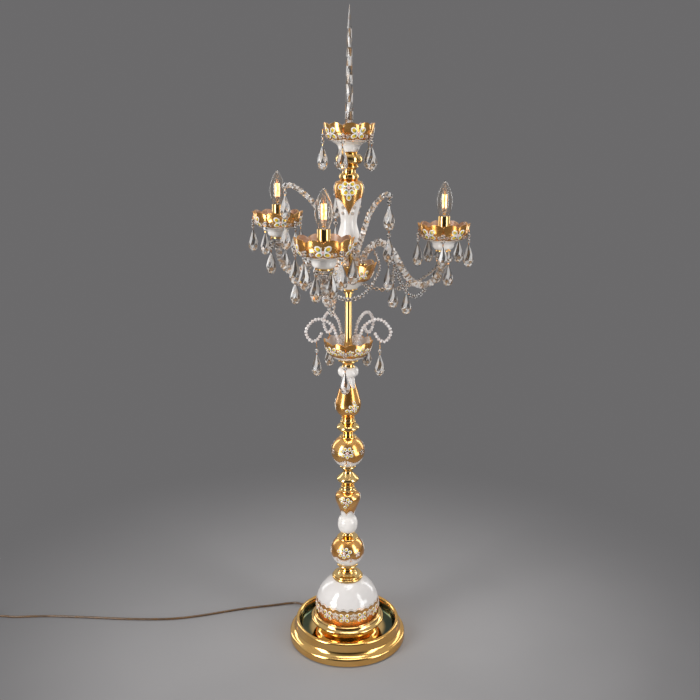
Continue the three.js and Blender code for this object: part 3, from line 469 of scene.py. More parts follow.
def floor_material():
    """A pale floor near the lamp, which takes its shadow, and the backdrop's own colour far away."""
    material, tree, shader = new_material("pale_floor", Emission_Strength=1.0, Specular_IOR_Level=0.0)
    group = mottled(tree, 1.5, 60, 0.5, 0.62)
    coordinates = tree.nodes.new("ShaderNodeTexCoord")
    length = node_of(tree, "ShaderNodeVectorMath", operation="LENGTH")
    tree.links.new(coordinates.outputs["Object"], length.inputs[0])
    far = between(tree, length.outputs["Value"], 0.05, FLOOR_REACH)
    near_floor = mix_of(tree, group.outputs["Cloud"], FLOOR_PALE, FLOOR_DEEP)
    tree.links.new(mix_of(tree, far, near_floor, BLACK), shader.inputs["Base Color"])
    shown = light_paths(tree)[2]
    glow_far = mix_of(tree, math_of(tree, "MULTIPLY", shown, far), BLACK, BACKDROP)
    tree.links.new(glow_far, shader.inputs["Emission Color"])
    tree.links.new(between(tree, far, 0, 1, 0.55, 1), shader.inputs["Roughness"])
    return material


def make_floor():
    sheet = bmesh.new()
    bmesh.ops.create_grid(sheet, x_segments=1, y_segments=1, size=9)
    data = bpy.data.meshes.new("floor")
    sheet.to_mesh(data)
    sheet.free()
    data.materials.append(floor_material())
    floor = link(bpy.data.objects.new("floor", data))


def make_lamp(name, place, aim, width, height, power):
    """An area lamp; glass shows no lamp but the top one."""
    data = bpy.data.lights.new(name, "AREA")
    data.shape = "RECTANGLE"
    data.size = width
    data.size_y = height
    data.energy = power
    lamp = link(bpy.data.objects.new(name, data))
    lamp.location = place
    lamp.visible_camera = False
    lamp.visible_transmission = name == "top"
    lamp.rotation_euler = (Vector(aim) - Vector(place)).to_track_quat("-Z", "Y").to_euler()


bpy.context.scene.view_settings.view_transform = "Standard"
make_world()
make_floor()
for lamp_values in LAMPS:
    make_lamp(*lamp_values)


# Outlines: a point is a radius and a height, and the outer side of an outline goes up.
SADDLE_GAP = 0.3
SADDLE_STEPS = 8


def curve(*points, steps=16):
    """A smooth line through the points."""
    path = smooth_path([(radius, 0, height) for radius, height in points], steps)
    return [(point.x, point.z) for point in path]


def ring(low, crest, high, steps=12):
    """A round moulding, or a waist, between two points; half way up it reaches its crest."""
    points = []
    for i in range(steps + 1):
        turn = math.pi * i / steps
        bulge = (crest - (low[0] + high[0]) / 2) * math.sin(turn)
        rise = (1 - math.cos(turn)) / 2
        points.append((low[0] + (high[0] - low[0]) * i / steps + bulge, low[1] + (high[1] - low[1]) * rise))
    return points


def cap_height(radius, cap):
    """How far a flat cap lies from the middle of a ball."""
    return math.sqrt(radius**2 - cap**2)


def globe(radius, cap, steps=36):
    """A ball from its lower flat cap to its upper one."""
    points = []
    for i in range(steps + 1):
        angle = math.acos(cap / radius) * (2 * i / steps - 1)
        points.append((radius * math.cos(angle), cap_height(radius, cap) + radius * math.sin(angle)))
    return points


def saddle(radius, cap, edge):
    """The underside of a piece on a glass sphere: level over its cap, then down to the piece's edge."""
    reach = radius + SADDLE_GAP
    points = [(BORE, 0)]
    for i in range(SADDLE_STEPS + 1):
        out = cap + (edge - cap) * i / SADDLE_STEPS
        points.append((out, cap_height(reach, out) - cap_height(reach, cap)))
    return points


def walled(skin, wall):
    """A skin and, inside it, the same line set in by the wall; its ends are cut level or upright."""
    inner = []
    last = len(skin) - 1
    for i, point in enumerate(skin):
        before, after = skin[max(i - 1, 0)], skin[min(i + 1, last)]
        run = Vector((after[0] - before[0], after[1] - before[1]))
        if i in (0, last):
            run = Vector((run.x, 0)) if abs(run.x) > abs(run.y) else Vector((0, run.y))
        run.normalize()
        inner.append((point[0] - run.y * wall, point[1] + run.x * wall))
    return [*skin, *reversed(inner)]


def bored(outline):
    """An outline closed along the bore for the tube."""
    return [(BORE, outline[0][1]), *outline, (BORE, outline[-1][1])]


# Shapes and pieces: a shape is a bmesh in millimetres, and each face has the number of its finish.
# Three of these finishes paint light onto cut glass: a painted highlight, a painted amber glint and painted
# shade.
MAIN, INSIDE, CRYSTAL, PIN, ENAMEL, PAINTED_HIGHLIGHT, PAINTED_AMBER_GLINT, TWIST, SHADE = range(9)
CUT = (CRYSTAL, PAINTED_HIGHLIGHT, PAINTED_AMBER_GLINT, TWIST, SHADE)
SAME_POINT = 0.0005


def spun(outline, steps=96, finish=MAIN):
    """An outline spun about the upright axis; one that starts and ends on the axis stays open there."""
    shape = bmesh.new()
    knots = [shape.verts.new((radius, 0, height)) for radius, height in outline]
    ends = knots[1:] if outline[0][0] == 0 else [*knots[1:], knots[0]]
    for first, second in zip(knots, ends):
        shape.edges.new((first, second))
    bmesh.ops.spin(
        shape,
        geom=[*shape.verts, *shape.edges],
        cent=(0, 0, 0),
        axis=(0, 0, 1),
        angle=2 * math.pi,
        steps=steps,
        use_merge=True,
    )
    bmesh.ops.remove_doubles(shape, verts=shape.verts, dist=SAME_POINT)
    bmesh.ops.recalc_face_normals(shape, faces=shape.faces)
    return paint(shape, finish)


def paint(shape, finish):
    """Gives every face one finish."""
    for face in shape.faces:
        face.material_index = finish
    return shape


def move(shape, place):
    """Puts a whole shape in its place."""
    bmesh.ops.transform(shape, matrix=place, verts=shape.verts)
    return shape


def pattern_of(shape):
    """A finished shape kept as a mesh, to be stamped many times."""
    data = bpy.data.meshes.new("pattern")
    shape.to_mesh(data)
    shape.free()
    return data


def stamp(shape, pattern, place):
    """Adds one copy of a pattern to a shape."""
    placed = pattern.copy()
    placed.transform(place)
    shape.from_mesh(placed)
    bpy.data.meshes.remove(placed)


def merged(shape, other, place=None):
    """Adds a shape that is used once, and frees it."""
    pattern = pattern_of(other)
    stamp(shape, pattern, place or Matrix.Identity(4))
    bpy.data.meshes.remove(pattern)


def make_piece(name, shape, body, finishes, nodes=(), crease=32):
    """A piece in metres from a shape in millimetres, with the finishes that its faces use."""
    used = sorted({face.material_index for face in shape.faces})
    bmesh.ops.scale(shape, vec=(MM, MM, MM), verts=shape.verts)
    for face in shape.faces:
        face.smooth = face.material_index not in CUT
        face.material_index = used.index(face.material_index)
    for edge in shape.edges:
        if len(edge.link_faces) == 2:
            edge.smooth = edge.calc_face_angle() < math.radians(crease)
    data = bpy.data.meshes.new(name)
    shape.to_mesh(data)
    shape.free()
    for number in used:
        data.materials.append(finishes[number])
    piece = link(bpy.data.objects.new(name, data))
    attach(piece, body)
    if nodes:
        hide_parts(*nodes)
    return piece


def turned_by(angle, height, distance=0.0):
    """The place of a thing at an angle round the column, at a height and a distance from its axis."""
    turn = Matrix.Rotation(math.radians(angle - 90), 4, "Z")
    return turn @ Matrix.Translation((distance, 0, height))


# Gilding on glass
def gilding_group():
    """Gold above or below a lobed edge, with a lace line outside it and a brown line inside it.

    Sizes are in millimetres. Point changes the round lobes into points, and Drip is how far fine curls hang
    from between the lobes.
    """
    inputs = {"Edge": 0.0, "Lobes": 5.0, "Turn": 0.0, "Dip": 3.0, "Side": 1.0, "Point": 0.0, "Drip": 0.0}
    outputs = {"Gold": "NodeSocketFloat", "Line": "NodeSocketFloat"}
    group, start, end = new_group("gilding", inputs, outputs, ("Position",))
    split = group.nodes.new("ShaderNodeSeparateXYZ")
    group.links.new(start.outputs["Position"], split.inputs[0])

    def sum_of(operation, first, second=None):
        return math_of(group, operation, first, second)

    around = sum_of("ARCTAN2", split.outputs["X"], sum_of("MULTIPLY", split.outputs["Y"], -1.0))
    swing = sum_of("MULTIPLY", sum_of("SUBTRACT", around, start.outputs["Turn"]), start.outputs["Lobes"])
    wave = sum_of("ABSOLUTE", sum_of("SINE", swing))
    tooth = sum_of("SUBTRACT", 1.0, wave)
    shape = sum_of("ADD", wave, sum_of("MULTIPLY", start.outputs["Point"], sum_of("SUBTRACT", tooth, wave)))
    dip = sum_of("MULTIPLY", shape, sum_of("MULTIPLY", start.outputs["Dip"], start.outputs["Side"]))
    edge = sum_of("SUBTRACT", start.outputs["Edge"], dip)
    inside = sum_of("MULTIPLY", sum_of("SUBTRACT", split.outputs["Z"], edge), start.outputs["Side"])
    gold = between(group, inside, -0.2, 0.2)
    small = sum_of("ABSOLUTE", sum_of("SINE", sum_of("MULTIPLY", swing, 5.0)))
    reach = sum_of("ADD", sum_of("ADD", inside, 1.5), sum_of("MULTIPLY", small, 1.3))
    lace = between(group, sum_of("ABSOLUTE", reach), 0.55, 0.25)
    deep = sum_of("ADD", inside, start.outputs["Drip"])
    drip = sum_of("MULTIPLY", between(group, deep, -0.3, 0.3), between(group, wave, 0.12, 0.06))
    curl = sum_of("ABSOLUTE", sum_of("SUBTRACT", deep, sum_of("MULTIPLY", wave, 9.0)))
    curls = sum_of("MULTIPLY", between(group, curl, 0.8, 0.4), between(group, wave, 0.45, 0.35))
    dripping = sum_of("GREATER_THAN", start.outputs["Drip"], 0.5)
    hanging = sum_of("MULTIPLY", sum_of("MAXIMUM", drip, curls), dripping)
    whole = sum_of("MAXIMUM", sum_of("MAXIMUM", gold, lace), hanging)
    line = between(group, sum_of("ABSOLUTE", sum_of("SUBTRACT", inside, 1.3)), 0.6, 0.25)
    group.links.new(whole, end.inputs["Gold"])
    group.links.new(line, end.inputs["Line"])
    return group


GILDING = gilding_group()
GILDING_LINE = (0.22, 0.08, 0.02)


def gilt_glass(name, centre=(0, 0), white=OPAL_WHITE, **values):
    """White glass, gilt on one side of an edge; the values are those of the gilding group."""
    material, tree, shader = new_material(name, Coat_Weight=0.35, Coat_Roughness=0.04)
    coordinates = tree.nodes.new("ShaderNodeTexCoord")
    mapping = tree.nodes.new("ShaderNodeMapping")
    mapping.vector_type = "TEXTURE"
    mapping.inputs["Location"].default_value = (centre[0] * MM, centre[1] * MM, 0)
    mapping.inputs["Scale"].default_value = (MM, MM, MM)
    tree.links.new(coordinates.outputs["Object"], mapping.inputs["Vector"])
    gilding = tree.nodes.new("ShaderNodeGroup")
    gilding.node_tree = GILDING
    tree.links.new(mapping.outputs["Vector"], gilding.inputs["Position"])
    for key, value in values.items():
        gilding.inputs[key].default_value = value
    mottle = mottled(tree, 26, 220, 0.13, 0.27)
    gold = mix_of(tree, mottle.outputs["Cloud"], GOLD_BRIGHT, GOLD_DEEP)
    gold = mix_of(tree, math_of(tree, "MULTIPLY", gilding.outputs["Line"], 0.75), gold, GILDING_LINE)
    pale = mix_of(tree, mottle.outputs["Cloud"], white, tuple(0.94 * part for part in white))
    tree.links.new(mix_of(tree, gilding.outputs["Gold"], pale, gold), shader.inputs["Base Color"])
    tree.links.new(math_of(tree, "MULTIPLY", gilding.outputs["Gold"], 0.92), shader.inputs["Metallic"])
    smoother = between(tree, gilding.outputs["Gold"], 0, 1, 0.4, 1)
    gloss = math_of(tree, "MULTIPLY", mottle.outputs["Roughness"], smoother)
    tree.links.new(gloss, shader.inputs["Roughness"])
    bumped(tree, shader, gilding.outputs["Gold"], 0.35)
    return material


def inside_glass(name, tone):
    """The inside of a cup, in its own tone."""
    deep = tuple(0.82 * part for part in tone)
    return polished(name, tone, deep, 0.18, 0.34, metal=0.0, cloud=30, fine=300)


# Base and column: the outlines, each from its own foot up
DOME_RADIUS, DOME_CAP = 74.3, 10
LOW_BALL_RADIUS, LOW_BALL_CAP = 38.8, 20
HIGH_BALL_RADIUS, HIGH_BALL_CAP = 37.8, 16
BASE_WALL = 2
SEAT_WALL = 2.5
DOME_WALL = 4
DISH_RADIUS = 112.6
DISH_FLOOR = 21.5

base_skin = [
    (136, 3),
    (136, 15.5),
    *curve((135.6, 17.6), (133.6, 20), (130, 21.4), (126.6, 23.4), (123, 27.6), (121.4, 33), steps=18),
    *curve((121.6, 44), (120.8, 47.6), (118.4, 49.4), (115.4, 49.2), (113.2, 46.6), steps=12),
    *curve((112.8, 42), (111.4, 33), (106.5, 25.4), (97, 22.2), (80, 22), steps=16),
    (BORE, 22),
]


def dish_material():
    """The mirror-like dish of the base: a painted reflection of the brass seat round the seat, and dark green
    farther out.
    """
    material, tree, shader = new_material("mirror_dish", Metallic=1.0)
    coordinates = tree.nodes.new("ShaderNodeTexCoord")
    split = tree.nodes.new("ShaderNodeSeparateXYZ")
    tree.links.new(coordinates.outputs["Object"], split.inputs[0])
    square = [math_of(tree, "MULTIPLY", split.outputs[axis], split.outputs[axis]) for axis in "XY"]
    distance = math_of(tree, "SQRT", math_of(tree, "ADD", *square))
    # Painted reflection of the brass seat: brass colour close round the seat, the dish's dark green beyond it
    away = between(tree, distance, 0.080, 0.094)
    mottle = mottled(tree, 14, 200, 0.03, 0.14)
    green = mix_of(tree, mottle.outputs["Cloud"], (0.11, 0.12, 0.06), (0.05, 0.07, 0.045))
    tree.links.new(mix_of(tree, away, BRASS_DEEP, green), shader.inputs["Base Color"])
    tree.links.new(mottle.outputs["Roughness"], shader.inputs["Roughness"])
    return material


def make_base():
    shape = spun(walled(base_skin, BASE_WALL), 128)
    for face in shape.faces:
        middle = face.calc_center_median()
        if math.hypot(middle.x, middle.y) < DISH_RADIUS and middle.z > DISH_FLOOR:
            face.material_index = INSIDE
    finishes = {MAIN: foot_brass, INSIDE: dish_material()}
    make_piece("stepped_base", shape, "root", finishes, ["base_shell"])


make_base()

seat = [
    (72, 0),
    *curve((70.4, 1), (70, 5), (70, 14), (72, 19.6), (76.6, 24), (82, 26.4), steps=16),
    *ring((83, 26.8), 85, (82.4, 32), 10),
    *curve((80.6, 33.2), (78.6, 35.2), (77.6, 37.4), steps=6),
    *ring((77, 37.6), 77.8, (74.4, 41.2), 8),
    (74, 41.7),
]
collar = [
    *saddle(DOME_RADIUS, DOME_CAP, 34.4),
    *ring((34.4, -5.8), 36, (33.8, -1.2)),
    *ring((31.8, -1.2), 33.2, (30.8, 2.8)),
    *curve((29, 3), (24, 4.8), (20.2, 8.2), steps=8),
    *ring((18.8, 8.6), 20.2, (17.6, 12)),
    *curve((15.6, 12.4), (14.4, 16), (16.6, 20), (22.4, 23.4), steps=12),
    *ring((22.4, 23.6), 24.4, (22, 28.3)),
    (BORE, 28.3),
]
low_neck = [
    *saddle(LOW_BALL_RADIUS, LOW_BALL_CAP, 23.4),
    *ring((23.4, -1.8), 24.6, (22.4, 1.4)),
    *curve((19.6, 1.6), (13, 4.4), (9.8, 7.8), (10.6, 10.6), (14.8, 12.4), steps=14),
    *ring((14.8, 12.4), 16.4, (14.8, 14.4), 8),
    (BORE, 14.4),
]
low_knop = bored(
    [
        *ring((18.4, 0), 20, (18.2, 3.6)),
        *curve((16.4, 3.8), (14, 6.6), (13.7, 9.6), steps=8),
        *ring((14.6, 9.8), 16, (14.6, 13.4), 8),
        *curve((13.6, 13.6), (14, 17), (19.4, 22), (24.6, 27.6), (25.4, 30.6), (23.4, 34.4), steps=20),
        *curve((23.4, 34.4), (17, 40), (12, 45), (10.9, 50), (12.6, 53.8), (16.2, 56.6), steps=18),
        *ring((16.4, 56.8), 18.4, (16.2, 62.4)),
    ]
)
high_knop = [
    *saddle(HIGH_BALL_RADIUS, HIGH_BALL_CAP, 18.3),
    *ring((18.3, -1.1), 19.6, (17.6, 1.8)),
    *curve((15, 2.2), (11.2, 4.6), (10.8, 7.5), (12.6, 10.8), steps=12),
    *curve(
        (12.6, 10.8), (18, 14.2), (24.8, 19.6), (25.9, 22.6), (24, 26.2), (18.4, 30.6), (13.6, 34), steps=26
    ),
    *ring((15.8, 34.4), 17.8, (15.6, 38.6)),
    *curve((14, 38.8), (13.2, 41), (13.8, 43.2), steps=8),
    *ring((13.8, 43.2), 15.2, (13.6, 46.2), 8),
    (BORE, 46.2),
]
flange = bored(
    [
        *curve((15, 0), (12.9, 4), (13.4, 7.8), (16.6, 11), (20.6, 12.8), steps=14),
        *ring((20.8, 13), 22.2, (20.4, 16.7), 10),
    ]
)
ferrule = bored(
    [
        *curve((10.6, 0), (10.6, 3), (13, 5.6), (18.6, 7.8), steps=12),
        *ring((18.8, 8), 20.2, (18.8, 10.3), 8),
    ]
)
rod_line = bored(
    [
        (17, 0),
        (17, 4.3),
        *ring((28, 4.3), 29.4, (27.6, 8.4), 8),
        *curve((15, 8.6), (12, 16), (9.6, 29.4), (8, 42), (7.3, 51.4), steps=16),
        (7.3, 143.4),
    ]
)
crown_knop = bored(
    [
        *ring((17.7, 0), 21.2, (16, 13), 14),
        *curve((15, 13.4), (14.2, 17), (15.4, 21), (18.8, 24.4), steps=12),
        *ring((18.8, 24.6), 20.2, (17.4, 29.8), 10),
        *ring((17, 30.5), 28.7, (17, 52.3), 20),
        *curve((17.2, 52.4), (17.4, 53.6), (19, 56.1), steps=6),
    ]
)
swelling = bored(
    [
        *ring((15, 0), 23, (14.5, 37.2), 22),
        *curve((14.5, 37.2), (18, 52), (28.6, 82.7), (26, 94), (17, 99.7), steps=30),
    ]
)
pear = bored(
    [
        *curve((13.4, 0), (25, 13), (29, 30.2), (24, 51.7), (16.6, 77.7), (13.8, 93), steps=36),
        *ring((13.8, 94), 23.2, (15, 115.7), 20),
    ]
)
vase = bored(
    curve(
        (21, 0), (23.3, 12.7), (17.2, 39.7), (18.5, 52.7),
        (25.2, 79.7), (31.3, 112.7), (27, 124), (17.7, 129.3),
        steps=54,
    )
)
low_ball = globe(LOW_BALL_RADIUS, LOW_BALL_CAP)
high_ball = globe(HIGH_BALL_RADIUS, HIGH_BALL_CAP)
dome_middle = cap_height(DOME_RADIUS, DOME_CAP)
dome_skin = [
    (DOME_RADIUS, 0),
    (DOME_RADIUS, 12),
    *[(radius, height - dome_middle + 21.7) for radius, height in globe(DOME_RADIUS, DOME_CAP, 48)[24:]],
]


def raised(outline, node):
    return [(radius, height + LEVELS[node]) for radius, height in outline]


# Name, node and outline
BRASS_PIECES = (
    ("flared_seat", "dome_seat", walled(seat, SEAT_WALL)),
    ("stepped_collar", "dome_collar", collar),
    ("low_neck", "neck_lower", low_neck),
    ("low_knop", "knop_lower", low_knop),
    ("high_knop", "knop_upper", high_knop),
    ("cup_flange", "cup_neck", flange),
    ("polished_rod", "rod", rod_line),
    ("cup_ferrule", "hub_ferrule", ferrule),
    ("crown_knop", "top_knop", crown_knop),
)
for name, node, outline in BRASS_PIECES:
    make_piece(name, spun(raised(outline, node)), "root", {MAIN: brass}, [node])

# Name, node, outline and gilding
DOME_GILDING = dict(white=(0.72, 0.685, 0.66), Edge=101, Lobes=13, Dip=3.6, Side=-1)
GLASS_PIECES = (
    ("opal_dome", "glass_dome", walled(dome_skin, DOME_WALL), DOME_GILDING),
    ("low_ball", "ball_lower", bored(low_ball), dict(Edge=218, Lobes=3.5, Turn=0.21, Dip=6, Drip=10)),
    ("low_vase", "vase_lower", swelling, dict(Edge=326, Lobes=3, Turn=-0.17, Dip=9, Point=1)),
    ("high_ball", "ball_upper", bored(high_ball), dict(Edge=457, Lobes=2.5, Turn=-0.1, Dip=8, Drip=11)),
    ("pear_baluster", "baluster", pear, dict(Edge=618, Lobes=2.5, Turn=0.1, Dip=14, Side=-1, Point=1)),
    ("hub_vase_glass", "hub_vase", vase, dict(Edge=1031, Lobes=1.5, Dip=34, Point=1)),
)
for name, node, outline, gilding in GLASS_PIECES:
    dome = node == "glass_dome"
    shape = spun(raised(outline, node), 128 if dome else 96)
    make_piece(name, shape, "root", {MAIN: gilt_glass(name + "_gilding", **gilding)}, [node])


# Scalloped cups: gilt outside, with a tone of their own inside
CUP_WALL = 3.6
NOTCH_DEPTH = 6.5
NOTCH_INWARD = 2.5


def scalloped(point, foot, rim):
    """Where a point of a plain cup goes in the scalloped one; creases lie at the notches."""
    notch = 1 - abs(math.sin(LOBES / 2 * math.atan2(point.x, -point.y)))
    depth = notch * min(1.0, max(0.0, (point.z - foot) / (rim - foot))) ** 2
    out = math.hypot(point.x, point.y)
    inward = (out - NOTCH_INWARD * depth) / out
    return Vector((point.x * inward, point.y * inward, point.z - NOTCH_DEPTH * depth))


def cup_shape(skin, foot):
    """A scalloped cup about its own axis, with a notch facing the camera."""
    rim = skin[-1][1]
    shape = spun(walled(skin, CUP_WALL), 160)
    for face in shape.faces:
        middle = face.calc_center_median()
        outer = face.normal.x * middle.x + face.normal.y * middle.y
        level = face.normal.z > 0.8 and middle.z > rim - 1
        face.material_index = MAIN if outer > 0 or face.normal.z < -0.5 or level else INSIDE
    for knot in shape.verts:
        knot.co = scalloped(knot.co, foot, rim)
    return shape


def bellflower(foot, rim, height, belly):
    """The skin of a candle cup or the top cup: a white belly and a wide rim."""
    return [
        (BORE, 0),
        (foot - 1, 0),
        *curve((foot, 0.3), *belly, steps=18),
        *curve((rim * 0.78, height * 0.415), (rim * 0.92, height * 0.64), (rim, height), steps=14),
    ]


def plain_cup(foot_radius, rim_radius, rim, middle):
    """The skin of the middle cup or the hub cup."""
    return [(BORE, 0), (foot_radius - 1, 0), *curve((foot_radius, 0.6), *middle, (rim_radius, rim), steps=24)]


# Cut and clear glass
def crystal_material(name, tint, warm, low=0.0, high=0.03, clear=1.0, ior=1.6):
    """Clear glass with painted warm glints in spots, standing in for the warm light that cut glass shows
    beside gilding.
    """
    material, tree, shader = new_material(name, IOR=ior, Transmission_Weight=clear, Metallic=0.0)
    mottle = mottled(tree, 110, 500, low, high)
    # Painted glints: warm spots mixed into the glass colour
    painted_glint_spots = between(tree, mottle.outputs["Cloud"], 0.5, 0.85)
    tree.links.new(mix_of(tree, painted_glint_spots, tint, warm), shader.inputs["Base Color"])
    tree.links.new(mottle.outputs["Roughness"], shader.inputs["Roughness"])
    return material


crystal = crystal_material("cut_crystal", (0.86, 0.86, 0.87), (0.90, 0.76, 0.62), ior=1.6)
# Painted light on cut faces: half-frosted white for a painted highlight, amber for a painted glint, dark grey
# for painted shade
painted_highlight_facet = crystal_material("painted_highlight_facet", (0.98, 0.97, 0.96), (0.98, 0.90, 0.82), 0.0, 0.05, 0.5)
painted_amber_glint_facet = crystal_material("painted_amber_glint_facet", (0.98, 0.70, 0.44), (0.90, 0.52, 0.26), 0.0, 0.05, 0.75)
shade_facet = crystal_material("shade_facet", (0.22, 0.22, 0.23), (0.34, 0.24, 0.15), 0.0, 0.05, 0.75)
cane_glass = crystal_material("twisted_glass", (0.90, 0.88, 0.87), (0.92, 0.80, 0.70), 0.0, 0.05, 0.92)
pearl = crystal_material("pearl_glass", (0.96, 0.91, 0.89), (0.88, 0.77, 0.72), 0.03, 0.12, 0.35)
bulb_glass = crystal_material("bulb_glass", (1.0, 0.97, 0.93), (1.0, 0.92, 0.84), 0.0, 0.01, ior=1.5)


def tan_edge(material):
    """Bulb glass looks tan where it is seen edge on."""
    tree = material.node_tree
    socket = tree.nodes["Principled BSDF"].inputs["Base Color"]
    middle = socket.links[0].from_socket
    facing = tree.nodes.new("ShaderNodeLayerWeight")
    facing.inputs["Blend"].default_value = 0.5
    edge = between(tree, facing.outputs["Facing"], 0.55, 0.95)
    tree.links.new(mix_of(tree, edge, middle, (0.92, 0.70, 0.52)), socket)


tan_edge(bulb_glass)
pin_gold = polished("pin_gold", (0.92, 0.55, 0.20), (0.80, 0.42, 0.12), 0.12, 0.25)


def enamel_material():
    """Raised enamel: white rims, yellow hearts, green shading towards the middle, and rosy middles."""
    material, tree, shader = new_material("raised_enamel", Coat_Weight=0.6, Coat_Roughness=0.05)
    attribute = tree.nodes.new("ShaderNodeAttribute")
    attribute.attribute_name = "petal"
    split = tree.nodes.new("ShaderNodeSeparateColor")
    tree.links.new(attribute.outputs["Color"], split.inputs[0])
    heart, inward, kind = (split.outputs[channel] for channel in ("Red", "Green", "Blue"))
    mottle = mottled(tree, 300, 900, 0.12, 0.28)
    white = mix_of(tree, mottle.outputs["Cloud"], (0.90, 0.89, 0.86), (0.82, 0.82, 0.80))
    yellow = mix_of(tree, between(tree, inward, 0.50, 0.78), (0.80, 0.53, 0.03), (0.10, 0.17, 0.07))
    petal = mix_of(tree, between(tree, heart, 0.74, 0.6), white, yellow)
    middle = mix_of(tree, between(tree, heart, 0.5, 0.3), (0.88, 0.70, 0.66), (0.66, 0.20, 0.12))
    ghost = mix_of(tree, between(tree, heart, 0.7, 0.4), (0.72, 0.66, 0.58), (0.50, 0.38, 0.26))
    colour = mix_of(tree, math_of(tree, "GREATER_THAN", kind, 0.25), petal, middle)
    colour = mix_of(tree, math_of(tree, "GREATER_THAN", kind, 0.75), colour, ghost)
    tree.links.new(colour, shader.inputs["Base Color"])
    tree.links.new(mottle.outputs["Roughness"], shader.inputs["Roughness"])
    return material


enamel = enamel_material()
FINISHES = {CRYSTAL: crystal, PIN: pin_gold, ENAMEL: enamel, PAINTED_HIGHLIGHT: painted_highlight_facet, PAINTED_AMBER_GLINT: painted_amber_glint_facet}
FINISHES |= {TWIST: cane_glass, SHADE: shade_facet}


STONE_SIDES = 8
BELLY = 0.6


def glint(point, deep):
    """The finish of a cut face: painted highlights and painted shade take turns down to the belly, and
    painted amber glints come among the faces below it.
    """
    column = round(2 * STONE_SIDES * math.atan2(point.y, point.x) / math.tau)
    if deep < BELLY:
        return PAINTED_HIGHLIGHT if column // 2 % 2 else SHADE
    step = (column + int(7 * deep)) % 4
    if step == 3:
        return PAINTED_AMBER_GLINT
    return PAINTED_HIGHLIGHT if step == 1 else CRYSTAL


def cut_stone(rows):
    """A faceted stone: the tightest skin round rings of corners, given as radius, height and half steps."""
    shape = bmesh.new()
    for radius, height, half in rows:
        count = STONE_SIDES if radius > 0 else 1
        for k in range(count):
            angle = 2 * math.pi * (k + 0.5 * half) / STONE_SIDES
            shape.verts.new((radius * math.cos(angle), radius * math.sin(angle), height))
    bmesh.ops.convex_hull(shape, input=shape.verts)
    high, low = rows[0][1], rows[-1][1]
    # Each face gets plain crystal or painted light from glint(): a painted highlight, painted shade or a
    # painted amber glint
    for face in shape.faces:
        middle = face.calc_center_median()
        face.material_index = glint(middle, (high - middle.z) / (high - low))
    return shape


def cut_drop(length, radius):
    """An almond drop, hanging from its tip."""
    rows = [(1.1, 0, 0), (0.44 * radius, -0.2 * length, 0), (0.77 * radius, -0.42 * length, 0)]
    rows += [(0.94 * radius, -0.57 * length, 0), (radius, -0.69 * length, 1)]
    rows += [(0.82 * radius, -0.84 * length, 0), (0.44 * radius, -0.95 * length, 1), (0, -length, 0)]
    return pattern_of(cut_stone(rows))


CUP_DROP = cut_drop(50, 11.8)
CANE_DROP = cut_drop(50, 11.6)
CURL_DROP = cut_drop(48, 11.4)
SHORT_DROP = cut_drop(28, 9)
BEAD_RADIUS = 5.2


def octagon_bead():
    """A flat cut bead that faces outwards, towards +x."""
    shape = cut_stone([(2.9, 3.1, 0), (BEAD_RADIUS, 0.9, 1), (BEAD_RADIUS, -0.9, 1), (2.9, -3.1, 0)])
    return pattern_of(move(shape, Matrix.Rotation(math.pi / 2, 4, "Y")))


BEAD = octagon_bead()
CABOCHON = pattern_of(cut_stone([(5.2, -0.6, 0), (5, 1, 0), (3, 2.8, 1)]))


def add_pin(shape, place, radius, low, high, sides=6):
    """A gold pin along the upright axis of a place."""
    pin = bmesh.new()
    bmesh.ops.create_cone(
        pin, cap_ends=True, segments=sides, radius1=radius, radius2=radius, depth=high - low,
        matrix=Matrix.Translation((0, 0, (low + high) / 2)),
    )
    merged(shape, paint(pin, PIN), place)


def wire_loop(radius, wire):
    """An upright wire ring about the origin, facing along x."""
    shape = bmesh.new()
    bmesh.ops.create_circle(shape, segments=6, radius=wire)
    move(shape, Matrix.Translation((0, radius, 0)) @ Matrix.Rotation(math.pi / 2, 4, "Y"))
    bmesh.ops.spin(
        shape, geom=[*shape.verts, *shape.edges], cent=(0, 0, 0), axis=(1, 0, 0), angle=2 * math.pi, steps=14,
        use_merge=True,
    )
    bmesh.ops.remove_doubles(shape, verts=shape.verts, dist=0.001)
    bmesh.ops.recalc_face_normals(shape, faces=shape.faces)
    return pattern_of(paint(shape, PIN))


LOOP = wire_loop(1.5, 0.4)
DROP_PIN = 0.5
PIN_OVERLAP = 0.8
HOOK_PIN = 0.7
HOOK_REACH = 3.6
HOOK_LENGTH = HOOK_REACH + 2.6


def hang(shape, place, drops, beads):
    """A chain on gold pins below a hook: drops as (pattern, top), beads as heights of their middles."""
    spans = []
    for middle in beads:
        stamp(shape, BEAD, place @ Matrix.Translation((0, 0, middle)))
        spans.append((middle + BEAD_RADIUS, middle - BEAD_RADIUS))
    for pattern, top in drops:
        stamp(shape, pattern, place @ Matrix.Translation((0, 0, top)))
        spans.append((top, top + min(knot.co.z for knot in pattern.vertices)))
    above = 0.0
    for top, bottom in sorted(spans, reverse=True):
        add_pin(shape, place, DROP_PIN, top - PIN_OVERLAP, max(above + PIN_OVERLAP, top + PIN_OVERLAP))
        stamp(shape, LOOP, place @ Matrix.Translation((0, 0, (top + above) / 2)))
        above = bottom


def hook_into(shape, angle, radius, height):
    """A gold pin through the wall of a cup, and the place that hangs from its end."""
    out = turned_by(angle, height, radius + HOOK_REACH - HOOK_LENGTH + PIN_OVERLAP)
    add_pin(shape, out @ Matrix.Rotation(math.pi / 2, 4, "Y"), HOOK_PIN, 0, HOOK_LENGTH)
    return turned_by(angle, height, radius + HOOK_REACH)


